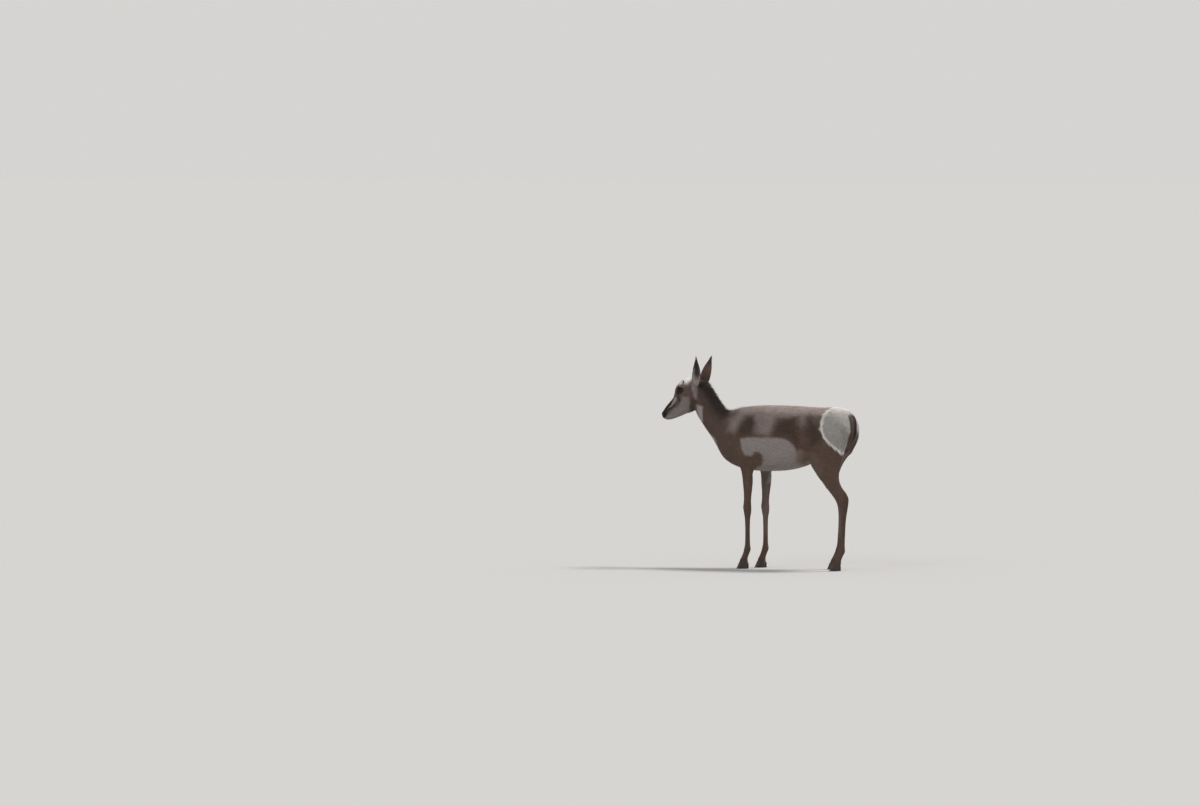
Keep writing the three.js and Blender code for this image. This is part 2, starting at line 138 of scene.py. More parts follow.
def ellipsoid(at, radii, turn_x=0.0, seg=40, rings=24):
    th = np.linspace(0, math.pi, rings + 1)[1:-1, None]
    ph = np.linspace(0, 2 * math.pi, seg, endpoint=False)[None, :]
    P = np.stack(
        [np.sin(th) * np.cos(ph), np.sin(th) * np.sin(ph), np.cos(th) + 0 * ph], -1
    ).reshape(-1, 3)
    P = np.vstack([P, [[0, 0, 1], [0, 0, -1]]]) * np.array(radii)
    c, s = math.cos(turn_x), math.sin(turn_x)
    P = P @ np.array([[1, 0, 0], [0, c, s], [0, -s, c]]) + np.array(at)
    faces = [f[::-1] for f in grid_faces(rings - 1, seg).tolist()]
    k, last = (rings - 1) * seg, (rings - 2) * seg
    for j in range(seg):
        faces.append([k, j, (j + 1) % seg])
        faces.append([k + 1, last + (j + 1) % seg, last + j])
    return P, [f[::-1] for f in faces]


TRUNK = [
    [[-343, 612], [-345, 634], 12, 0, 0, 2],
    [[-334, 580], [-338, 676], 40, 0, 0, 2],
    [[-306, 551], [-308, 740], 66, 0, -0.05, 2.1],
    [[-262, 527], [-252, 806], 84, 0, -0.14, 2.1],
    [[-205, 509], [-200, 835], 98, 0, -0.22, 2.1],
    [[-135, 500], [-135, 843], 112, 0, -0.22, 2.1],
    [[-55, 499], [-55, 846], 125, 0, -0.14, 2.15],
    [[30, 503], [30, 846], 133, 0, -0.1, 2.15],
    [[110, 517], [110, 844], 132, 0, -0.08, 2.15],
    [[185, 543], [185, 840], 124, 0, -0.04, 2.15],
    [[255, 577], [250, 838], 117, 0, 0.0, 2.15],
    [[320, 602], [312, 842], 114, 0, -0.02, 2.2],
    [[368, 614], [360, 840], 109, 0, -0.03, 2.2],
    [[402, 634], [398, 820], 97, 0, -0.04, 2.2],
    [[421, 662], [418, 790], 75, 0, -0.03, 2.1],
    [[428, 704], [428, 746], 34, 0, 0, 2],
]
NECK = [
    [[-482, 822], [-446, 962], 30, 0, 0, 2],
    [[-478, 796], [-420, 962], 46, 0, -0.08, 2],
    [[-466, 768], [-397, 934], 48, 0, -0.14, 2],
    [[-440, 733], [-368, 897], 49, 0, -0.16, 2],
    [[-412, 697], [-336, 851], 53, 0, -0.14, 2],
    [[-383, 661], [-296, 812], 62, 0, -0.12, 2],
    [[-356, 620], [-240, 818], 76, 0, -0.14, 2.05],
    [[-330, 585], [-175, 830], 88, 0, -0.16, 2.05],
    [[-290, 590], [-120, 800], 70, 0, 0, 2],
]
HEAD = [
    [[-671, 772], [-676, 786], 9, 0, 0, 2],
    [[-665, 763], [-675, 797], 17, 0, 0, 2.2],
    [[-652, 757], [-663, 812], 22.5, 0, 0.02, 2.3],
    [[-633, 756], [-645, 835], 24.5, 0, 0.0, 2.3],
    [[-610, 761], [-625, 858], 27.5, 0, -0.04, 2.3],
    [[-586, 770], [-608, 880], 33, 0, -0.06, 2.25],
    [[-562, 779], [-599, 906], 40, 0, 0.0, 2.2],
    [[-538, 789], [-589, 933], 46, 0, 0.04, 2.2],
    [[-514, 796], [-566, 958], 49, 0, 0.04, 2.2],
    [[-492, 806], [-534, 975], 49, 0, 0.02, 2.1],
    [[-474, 826], [-492, 979], 44, 0, 0.0, 2],
    [[-458, 860], [-455, 970], 37, 0, 0.0, 2],
    [[-446, 905], [-438, 940], 14, 0, 0, 2],
]
HEAD_SWELLS = []
for s_ in (1, -1):
    HEAD_SWELLS += [
        ((s_ * 38, -549, 912), (s_ * 19, -5, 3), 23),
        ((s_ * 44, -515, 846), (s_ * 5, 0, 0), 26),
        ((s_ * 42, -468, 938), (s_ * 16, 1, 2), 20),
        ((s_ * 21, -663, 783), (s_ * 2.5, 0, 0), 10),
    ]


def front_leg(side, step):
    X, s = LEG_X_FRONT, lambda k: step * k
    return loft(
        [
            [[-236, 780], [-196, 770], 12, 50],
            [[-258, 748], [-172, 736], 26, 62],
            [[-286, 698], [-150 + s(0.1), 690], 34, 68],
            [[-297 + s(0.1), 645], [-126 + s(0.3), 640], 38, 71],
            [[-264 + s(0.3), 592], [-100 + s(0.6), 596], 37, 73],
            [[-217 + s(0.7), 552], [-99 + s(0.9), 556], 32, 74],
            [[-190 + s(1), 512], [-114 + s(1), 514], 27.5, 74],
            [[-178 + s(1), 462], [-118 + s(1), 464], 24, 73],
            [[-172 + s(1), 400], [-125 + s(1), 400], 20.5, X + 1],
            [[-171 + s(1), 348], [-131 + s(1), 347], 18.5, X],
            [[-174 + s(1), 317], [-130 + s(1), 314], 20.5, X],
            [[-170 + s(1), 288], [-131 + s(1), 286], 18.5, X],
            [[-165 + s(1), 255], [-136 + s(1), 253], 14, X],
            [[-163 + s(1), 185], [-137 + s(1), 184], 12.5, X],
            [[-164 + s(1), 130], [-136 + s(1), 126], 14.5, X],
            [[-168 + s(1), 107], [-133 + s(1), 98], 17.5, X],
            [[-173 + s(1), 86], [-144 + s(1), 72], 16.5, X],
            [[-183 + s(1), 62], [-152 + s(1), 48], 18, X],
            [[-190 + s(1), 46], [-152 + s(1), 36], 19.8, X],
            [[-191 + s(1), 34], [-151 + s(1), 27], 19.2, X],
            [[-189 + s(1), 24], [-154 + s(1), 18], 14, X],
        ],
        32,
        180,
        side,
    )


def hind_leg(side, step):
    X, s = LEG_X_HIND, lambda k: -step * k
    return loft(
        [
            [[284, 790], [350, 786], 18, 56],
            [[238, 758], [390, 758], 42, 63],
            [[212, 712], [414, 724], 52, 66],
            [[194 + s(0.1), 652], [421 + s(0.05), 668], 53, 69],
            [[192 + s(0.3), 598], [410 + s(0.26), 612], 50, 72],
            [[206 + s(0.55), 546], [393 + s(0.62), 560], 43, 75],
            [[246 + s(0.8), 492], [381 + s(0.82), 508], 34, 77, -0.15],
            [[288 + s(0.93), 446], [380 + s(0.94), 462], 26, 78, -0.25],
            [[324 + s(1), 406], [394 + s(1), 430], 20.5, 79, -0.35],
            [[351 + s(1), 374], [419 + s(1), 400], 18.5, 79, -0.35],
            [[371 + s(1), 346], [431 + s(1), 371], 20, 79, -0.25],
            [[381 + s(1), 316], [425 + s(1), 327], 18, 78, -0.1],
            [[384 + s(1), 283], [417 + s(1), 286], 15, X],
            [[384 + s(1), 240], [412 + s(1), 241], 13.5, X],
            [[381 + s(1), 185], [409 + s(1), 185], 13.5, X],
            [[377 + s(1), 130], [407 + s(1), 128], 15.5, X],
            [[371 + s(1), 109], [408 + s(1), 100], 18.5, X],
            [[364 + s(1), 88], [395 + s(1), 74], 17, X],
            [[352 + s(1), 64], [385 + s(1), 50], 18.5, X],
            [[344 + s(1), 47], [384 + s(1), 37], 19.8, X],
            [[342 + s(1), 34], [380 + s(1), 28], 19.2, X],
            [[344 + s(1), 24], [377 + s(1), 19], 14, X],
        ],
        32,
        180,
        side,
    )


TAIL = [
    [[397, 806], [386, 826], 8, 0, 0, 2],
    [[414, 804], [393, 820], 18, 0, 0, 2],
    [[430, 789], [405, 798], 20, 0, 0, 2.1],
    [[438, 765], [414, 768], 19, 0, 0, 2.1],
    [[441, 735], [420, 735], 17, 0, 0, 2.1],
    [[440, 708], [424, 707], 14, 0, 0, 2],
    [[438, 690], [427, 689], 9, 0, 0, 2],
    [[434, 806 - TAIL_LENGTH], [431, 806 - TAIL_LENGTH], 2.5, 0, 0, 2],
]


# ------------------------------------------------------------------ mesh helpers
def new_mesh(name, V, faces):
    me = bpy.data.meshes.new(name)
    me.from_pydata(V.tolist(), [], faces)
    me.update()
    ob = bpy.data.objects.new(name, me)
    bpy.context.scene.collection.objects.link(ob)
    return ob


def verts(me):
    co = np.empty(len(me.vertices) * 3, np.float32)
    me.vertices.foreach_get("co", co)
    return co.reshape(-1, 3).astype(float)


def edges(me):
    e = np.empty(len(me.edges) * 2, np.int32)
    me.edges.foreach_get("vertices", e)
    return e.reshape(-1, 2)


def triangles(me):
    me.calc_loop_triangles()
    t = np.empty(len(me.loop_triangles) * 3, np.int32)
    me.loop_triangles.foreach_get("vertices", t)
    return t.reshape(-1, 3)


def relax(P, E, weight, rounds, rate=0.5):
    """Laplacian smoothing with a weight for each vertex."""
    n = len(P)
    count = np.bincount(E[:, 0], minlength=n) + np.bincount(E[:, 1], minlength=n)
    for _ in range(rounds):
        mean = np.empty_like(P)
        for k in range(3):
            mean[:, k] = np.bincount(E[:, 0], P[E[:, 1], k], n) + np.bincount(
                E[:, 1], P[E[:, 0], k], n
            )
        mean /= np.maximum(count, 1)[:, None]
        P = P + (mean - P) * (rate * weight)[:, None]
    return P


def normals(P, T):
    fn = np.cross(P[T[:, 1]] - P[T[:, 0]], P[T[:, 2]] - P[T[:, 0]])
    N = np.zeros_like(P)
    for k in range(3):
        for j in range(3):
            N[:, j] += np.bincount(T[:, k], fn[:, j], len(P))
    return unit(N)


def noise(P, cell, seed=0):
    """Smooth value noise from -1 to 1."""
    q = P / cell + 1000.0
    i = np.floor(q).astype(np.int64)
    f = q - i
    f = f * f * (3 - 2 * f)
    out = np.zeros(len(P))
    for dx in (0, 1):
        for dy in (0, 1):
            for dz in (0, 1):
                h = (
                    (i[:, 0] + dx) * 73856093
                    ^ (i[:, 1] + dy) * 19349663
                    ^ (i[:, 2] + dz) * 83492791
                    ^ (seed * 2654435761)
                ) & 0xFFFFFF
                h = (h * 1103515245 + 12345) & 0x7FFFFFFF
                h = ((h >> 8) & 0xFFFF) / 32767.5 - 1
                w = (
                    (f[:, 0] if dx else 1 - f[:, 0])
                    * (f[:, 1] if dy else 1 - f[:, 1])
                    * (f[:, 2] if dz else 1 - f[:, 2])
                )
                out += h * w
    return out


def inside(P2, poly):
    """Signed distance to a polygon in the side view, positive inside."""
    poly = np.array(poly, float)
    d = np.full(len(P2), 1e9)
    wind = np.zeros(len(P2), bool)
    for a, b in zip(poly, np.roll(poly, -1, 0)):
        e = b - a
        w = P2 - a
        t = np.clip((w @ e) / (e @ e), 0, 1)
        d = np.minimum(d, np.hypot(*(w - t[:, None] * e).T))
        crosses = (a[1] > P2[:, 1]) != (b[1] > P2[:, 1])
        with np.errstate(divide="ignore", invalid="ignore"):
            xs = a[0] + (P2[:, 1] - a[1]) * e[0] / (e[1] if e[1] else 1e-9)
        wind ^= crosses & (P2[:, 0] < xs)
    return np.where(wind, d, -d)


def line_distance(P, points):
    points = np.array(points, float)
    d = np.full(len(P), 1e9)
    for a, b in zip(points[:-1], points[1:]):
        e = b - a
        w = P - a
        t = np.clip((w @ e) / (e @ e), 0, 1)
        d = np.minimum(d, np.linalg.norm(w - t[:, None] * e, axis=1))
    return d


# ------------------------------------------------------------------ the skin's body
parts = [
    loft(TRUNK, 96, 180),
    loft(NECK, 64, 90),
    loft(HEAD, 96, 160, 1, HEAD_SWELLS),
    front_leg(1, 0),
    front_leg(-1, FORE_STEP),
    hind_leg(1, 0),
    hind_leg(-1, HIND_STEP),
    loft(TAIL, 24, 40),
    ellipsoid((0, -296, 640), (66, 50, 70), 0.2),
]
V, F, base = [], [], 0
for P, f in parts:
    V.append(P)
    F += [[i + base for i in q] for q in f]
    base += len(P)
raw = new_mesh("raw", np.vstack(V), F)
mod = raw.modifiers.new("join", "REMESH")
mod.mode, mod.voxel_size, mod.use_smooth_shade = "VOXEL", VOXEL, True
skin_me = bpy.data.meshes.new_from_object(raw.evaluated_get(bpy.context.evaluated_depsgraph_get()))
bpy.data.objects.remove(raw)


def steady(P, E):
    """Smooths without shrinking, and evens out where shoulders and thighs meet the trunk."""
    one = np.ones(len(P))
    for _ in range(5):
        P = relax(P, E, one, 1, 0.5)
        P = relax(P, E, one, 1, -0.52)
    body = smooth(440, 520, P[:, 2]) * smooth(-360, -320, P[:, 1])
    body *= 1 - smooth(424, 432, P[:, 1]) * smooth(30, 20, np.abs(P[:, 0]))
    P = relax(P, E, body, 34)
    nape = smooth(-400, -360, P[:, 1]) * smooth(-180, -240, P[:, 1]) * smooth(560, 620, P[:, 2])
    P = relax(P, E, nape, 24)
    join = np.exp(-(((P - np.array([0, -455, 880])) / np.array([80, 34, 90])) ** 2).sum(1))
    return relax(P, E, np.clip(join * 1.4, 0, 1), 16)


P = steady(verts(skin_me), edges(skin_me))
skin_me.vertices.foreach_set("co", P.astype(np.float32).ravel())


def refine(me, chosen):
    bm = bmesh.new()
    bm.from_mesh(me)
    bm.verts.ensure_lookup_table()
    co = np.array([v.co for v in bm.verts])
    keep = chosen(co)
    es = [e for e in bm.edges if keep[e.verts[0].index] and keep[e.verts[1].index]]
    bmesh.ops.subdivide_edges(bm, edges=es, cuts=1, use_grid_fill=True, smooth=0.0)
    bmesh.ops.triangulate(bm, faces=[f for f in bm.faces if len(f.verts) > 4])
    bm.to_mesh(me)
    bm.free()


def near_eye(P, reach):
    q = P.copy()
    q[:, 0] = np.abs(q[:, 0])
    return np.linalg.norm(q - (EYE + np.array([14, -2, 2])), axis=1) < reach


refine(skin_me, lambda P: (P[:, 1] < -452) & (P[:, 2] > 740))
P = verts(skin_me)
face = smooth(-440, -470, P[:, 1]) * smooth(740, 760, P[:, 2])
P = relax(P, edges(skin_me), face, 4)
skin_me.vertices.foreach_set("co", P.astype(np.float32).ravel())
refine(skin_me, lambda P: near_eye(P, 34) | ((P[:, 1] < -612) & (P[:, 2] > 740)))
P = verts(skin_me)
P = relax(P, edges(skin_me), smooth(-440, -470, P[:, 1]) * smooth(740, 760, P[:, 2]), 3)

# ------------------------------------------------------------------ coat depth
MANE = np.array([[-446, 968], [-417, 966], [-374, 910], [-330, 841], [-289, 806], [-250, 818]])


def nape_share(P):
    """1 along the mane's ridge, falling to 0 down the sides of the neck."""
    d = line_distance(P[:, 1:], MANE)
    return smooth(52, 16, d + np.abs(P[:, 0]) * 0.55) * smooth(-205, -262, P[:, 1])


RUMP_EDGE = [(326, 900), (302, 832), (285, 800), (278, 762), (284, 716), (305, 678), (336, 648),
             (370, 620), (396, 594), (412, 566), (440, 576), (520, 590), (520, 900)]


def rump_share(P, soft=4.0, wobble=None):
    q = P[:, 1:].copy()
    if wobble is not None:
        q = q + wobble
    d = inside(
        q,
        RUMP_EDGE,
    )
    return smooth(-soft, soft, d)


def coat_depth(P):
    """How far the skin lies inside the tips of the coat."""
    z, y, x = P[:, 2], P[:, 1], np.abs(P[:, 0])
    d = np.full(len(P), 7.2)
    d = d + 3.6 * rump_share(P, 25)
    low = smooth(620, 430, z) * (1 - smooth(90, 40, x) * smooth(430, 480, z))
    d = d * (1 - low) + 3.4 * low
    lower = smooth(400, 300, z)
    d = d * (1 - lower) + 1.8 * lower
    d = d * smooth(30, 62, z) + 0.3 * smooth(62, 30, z)
    head = smooth(-452, -500, y) * smooth(730, 770, z)
    d = d * (1 - head) + 2.6 * head
    snout = smooth(-600, -650, y) * head
    d = d * (1 - snout) + 1.0 * snout
    mane = nape_share(P) * (1 - head)
    d = d * (1 - mane) + 11.5 * mane
    tail = smooth(404, 414, y) * smooth(32, 22, x) * smooth(825, 800, z) * smooth(660, 680, z)
    return d * (1 - tail) + 7.5 * tail


T = triangles(skin_me)
N = normals(P, T)
P = P - N * coat_depth(P)[:, None]
E = edges(skin_me)
P = relax(P, E, np.clip(smooth(6, 10, coat_depth(P)), 0, 1), 6)
# Relief of the body: the hollow behind the shoulder, the flank, the loin, the hip and the hock.
N = normals(P, T)
for at, reach, depth in [
    ((108, -128, 742), (26, 36, 62), -5.0),
    ((112, 196, 742), (40, 52, 58), -8.5),
    ((104, 170, 600), (40, 34, 40), -5.0),
    ((84, -238, 690), (40, 34, 46), 3.0),
    ((88, 262, 806), (30, 26, 20), 2.5),
    ((60, -300, 700), (30, 24, 60), -4.0),
    ((30, -505, 800), (18, 30, 14), -1.6),
    ((34, -592, 838), (16, 24, 18), -2.4),
    ((17, -560, 905), (22, 26, 22), -1.5),
]:
    q = P.copy()
    q[:, 0] = np.abs(q[:, 0])
    share = np.exp(-0.5 * (((q - np.array(at)) / np.array(reach)) ** 2).sum(1))
    P = P + N * (share * depth)[:, None]

# ------------------------------------------------------------------ the face's details
NOSTRIL = np.array([13.0, -669.0, 789.0])
MOUTH = [(0, -676, 769), (10, -673, 769), (18, -664, 770.5), (25, -646, 773.5), (29.5, -624, 778)]


def eye_frame(side):
    """Centre, and the directions along the slit, across it and out of the eye."""
    C = EYE * np.array([side, 1, 1])
    out = unit(np.array([side * 0.93, -0.30, 0.12]))
    along = np.array([0, math.cos(EYE_TILT), math.sin(EYE_TILT)])
    along = unit(along - out * (along @ out))
    return C, along, np.cross(out, along) * side, out


def slit(h, v):
    """Under 1 inside the almond between the lids. h runs to the rear corner."""
    b = np.where(v > 0, EYE_HALF_HEIGHT * 1.04, EYE_HALF_HEIGHT * 0.92)
    front = np.where(h < 0, 1.12, 1.0)
    return (np.abs(h) / (EYE_HALF_LENGTH * front)) ** 1.75 + (np.abs(v) / b) ** 1.9


for side in (1, -1):
    C, A, B, O = eye_frame(side)
    w = P - C
    h, v, d = w @ A, w @ B, w @ O
    r2 = h * h + v * v
    near = (r2 < 30**2) & (d > 0)
    ball = np.sqrt(np.maximum(EYE_RADIUS**2 - r2, 0.0))
    f = slit(h, v)
    lid = ball + 1.5
    cover = np.where(r2 < (EYE_RADIUS - 1) ** 2, lid, -9.0)
    blend = smooth(2.9, 1.25, f)
    want = d * (1 - blend) + np.maximum(cover, d * 0 - 9) * blend
    want = np.where(cover > -5, np.maximum(want, cover), d)
    want = np.where(f < 1.0, ball - 3.0, want)
    # A soft fold above the upper lid.
    fold = np.exp(-(((np.sqrt(np.maximum(f, 0)) - 1.62) / 0.16) ** 2)) * smooth(-2, 6, v)
    want = want - fold * 1.3 * (f > 1.15)
    P = np.where(near[:, None], P + O * (want - d)[:, None], P)

    # Nostril: a comma-shaped hollow that runs up and back.
    at = NOSTRIL * np.array([side, 1, 1])
    w = P - at
    up = unit(np.array([side * 0.35, 0.35, 0.85]))
    ahead = unit(np.array([side * 0.55, -0.80, 0.1]))
    ahead = unit(ahead - up * (up @ ahead))
    across = np.cross(up, ahead)
    a, b, c = w @ up, w @ across, w @ ahead
    hole = np.exp(-((a / 5.6) ** 2 + ((b - 0.02 * a * a * side) / 2.6) ** 2) ** 1.5) * (np.abs(c) < 12)
    wing = np.exp(-(((np.hypot(a / 8.2, b / 5.2)) - 1) / 0.32) ** 2) * (np.abs(c) < 12)
    P = P - ahead * (hole * 5.5)[:, None] + ahead * (wing * 0.9)[:, None]

    # Line of the mouth, with a soft upper lip over it.
    line = [(side * x, y, z) for x, y, z in MOUTH]
    dm = line_distance(P, line)
    groove = np.exp(-((dm / 1.8) ** 2)) * smooth(-612, -628, P[:, 1])
    lipd = np.exp(-(((dm - 4.6) / 2.4) ** 2)) * smooth(-610, -640, P[:, 1])
    Nn = normals(P, T)
    P = P + Nn * (lipd * 0.8 - groove * 3.0)[:, None]

# Cleft of the upper lip under the nose.
Nn = normals(P, T)
cleft = np.exp(-((P[:, 0] / 1.2) ** 2)) * smooth(-668, -672, P[:, 1]) * smooth(784, 778, P[:, 2])
P = P - Nn * (cleft * smooth(766, 770, P[:, 2]) * 1.5)[:, None]
skin_me.vertices.foreach_set("co", P.astype(np.float32).ravel())
skin_me.update()

# ------------------------------------------------------------------ ears
EAR_W = np.array([15, 21, 25, 25.5, 23.5, 19.5, 13.5, 7, 1.6])
EAR_D = np.array([13, 17, 17, 15.5, 13, 10, 7, 4, 1.5])
EAR_WALL = np.array([13, 14, 9, 6, 5, 4.2, 3.6, 3, 1.5])


def ear_frame(side):
    root = np.array([side * 45.0, -466, 930])
    tip = np.array([side * 91.0, -437, 936 + EAR_LENGTH])
    axis = unit(tip - root)
    turn = math.radians(80)
    opens = np.array([side * math.sin(turn), -math.cos(turn), 0.0])
    opens = unit(opens - axis * (opens @ axis))
    return root, tip, axis, opens, np.cross(axis, opens)


def fix_outward(Vx, f):
    tri = np.array([g[:3] for g in f])
    vol = np.einsum("ij,ij->i", Vx[tri[:, 0]] - Vx.mean(0),
                    np.cross(Vx[tri[:, 1]] - Vx.mean(0), Vx[tri[:, 2]] - Vx.mean(0))).sum()
    return f if vol > 0 else [g[::-1] for g in f]


def ear(side):
    """Vertices, faces, and for each vertex: t along the ear, rim coordinate, 1 on the hollow side."""
    root, tip, axis, opens, across = ear_frame(side)
    rings, seg = 70, 64
    t = np.linspace(0, 0.992, rings)
    tab = np.stack([EAR_W + 0.2, EAR_D - 0.8, EAR_WALL - 1.6], 1)
    w, dep, wall = curve(tab, t * 8).T[:, :, None]
    # The root narrows, fills up and sinks into the head.
    out_of_head = smooth(0.0, 0.17, t)[:, None]
    wall = wall + (dep * 1.25 - wall) * (1 - out_of_head)
    w, dep, wall = [k * (0.5 + 0.5 * out_of_head) for k in (w, dep, wall)]
    a = np.linspace(0, 2 * math.pi, seg, endpoint=False)[None, :]
    rim = np.cos(a) * w
    back = np.where(np.sin(a) < 0, dep, -(dep - np.maximum(wall, 0.8))) * np.sin(a)
    ridge = 0.7 * np.sin(np.cos(a) * 9) * (np.sin(a) > 0.1) * smooth(0.1, 0.3, t)[:, None]
    bow = (-8 * np.sin(math.pi * t))[:, None]
    V = (
        root
        + (tip - root) * t[:, None, None]
        + across * rim[..., None]
        + opens * (back + bow + ridge - 9.0 * (1 - out_of_head))[..., None]
    )
    V = V.reshape(-1, 3)
    faces = grid_faces(rings, seg).tolist()
    k = len(V)
    V = np.vstack([V, V[:seg].mean(0), V[-seg:].mean(0) + axis * 0.6])
    last = (rings - 1) * seg
    for j in range(seg):
        faces.append([k, (j + 1) % seg, j])
        faces.append([k + 1, last + j, last + (j + 1) % seg])
    faces = fix_outward(V, faces)
    tt = np.append(np.repeat(t, seg), [0, 1])
    rr = np.append(np.tile(np.cos(a[0]), rings), [0, 0])
    inn = np.append(np.tile((np.sin(a[0]) > 0.02).astype(float), rings), [0, 0])
    return V, faces, tt, rr, inn


# ------------------------------------------------------------------ markings, with painted sheen and shade
BROWN = np.array([0.116, 0.075, 0.057])
# Pale back colour: partly a paler coat, mostly painted sheen where light falls on the back.
BACK_PALE_AND_SHEEN = np.array([0.338, 0.280, 0.268])
# The side and belly white, dimmed well below the rump's white: painted shade.
WHITE_DIMMED_BY_SHADE = np.array([0.300, 0.266, 0.252])
RUMP = np.array([0.66, 0.635, 0.605])
CREAM = np.array([0.325, 0.283, 0.265])
BLACK = np.array([0.016, 0.012, 0.010])
DARK = np.array([0.040, 0.027, 0.021])
LEG = np.array([0.120, 0.078, 0.059])

SIDE_PATCH = [(-178, 668), (-140, 677), (-60, 681), (40, 680), (90, 675), (122, 656), (140, 628),
              (142, 590), (131, 545), (120, 505), (112, 440), (-100, 440), (-86, 516), (-60, 544),
              (-45, 562), (-46, 592), (-64, 606), (-92, 603), (-108, 584), (-150, 585), (-170, 618)]
THROAT = [(-505, 800), (-474, 838), (-440, 838), (-424, 828), (-424, 788), (-428, 752), (-440, 738),
          (-470, 736), (-500, 770)]
LOWER_THROAT = [(-436, 712), (-412, 712), (-384, 690), (-350, 674), (-336, 656), (-330, 622),
                (-352, 600), (-400, 640), (-440, 690)]
CHEEK = [(-648, 774), (-634, 783), (-616, 796), (-590, 820), (-557, 838), (-546, 862), (-534, 880),
         (-500, 880), (-492, 850), (-501, 822), (-520, 806), (-560, 792), (-590, 776), (-612, 750),
         (-660, 745), (-668, 764)]
EAR_PATCH = [(-483, 985), (-446, 985), (-431, 930), (-439, 892), (-457, 861), (-474, 868),
             (-482, 911), (-486, 941)]
# Pale fields of the flank: partly a paler coat, partly painted highlight on the ribs and shoulder.
PALE_COAT_AND_LIT_FIELDS = [
    ([(-130, 830), (-130, 702), (-62, 696), (-36, 732), (-22, 790), (-20, 830)], 0.85),
    ([(92, 820), (98, 745), (132, 742), (138, 820)], 0.6),
    ([(-266, 712), (-250, 765), (-205, 805), (-160, 815), (-200, 750), (-236, 704)], 0.75),
    ([(168, 800), (172, 760), (196, 745), (214, 800)], 0.45),
]
# Dark fields of the flank: partly darker coat, partly painted shade in the hollows behind the shoulder and in
# the flank.
DARK_COAT_AND_SHADE_FIELDS = [
    ([(-214, 692), (-210, 738), (-168, 778), (-134, 782), (-130, 694)], 0.62),
    ([(-30, 692), (-30, 736), (15, 772), (84, 780), (94, 730), (84, 640), (52, 690)], 0.62),
    ([(132, 690), (118, 740), (146, 778), (196, 772), (216, 700), (196, 655), (150, 650)], 0.55),
]
STREAK = [(-627, 822), (-613, 846), (-590, 875), (-572, 876), (-571, 860), (-587, 841), (-608, 822)]
BRIDGE = [(-690, 800), (-668, 830), (-598, 892), (-588, 872), (-626, 820), (-644, 800)]


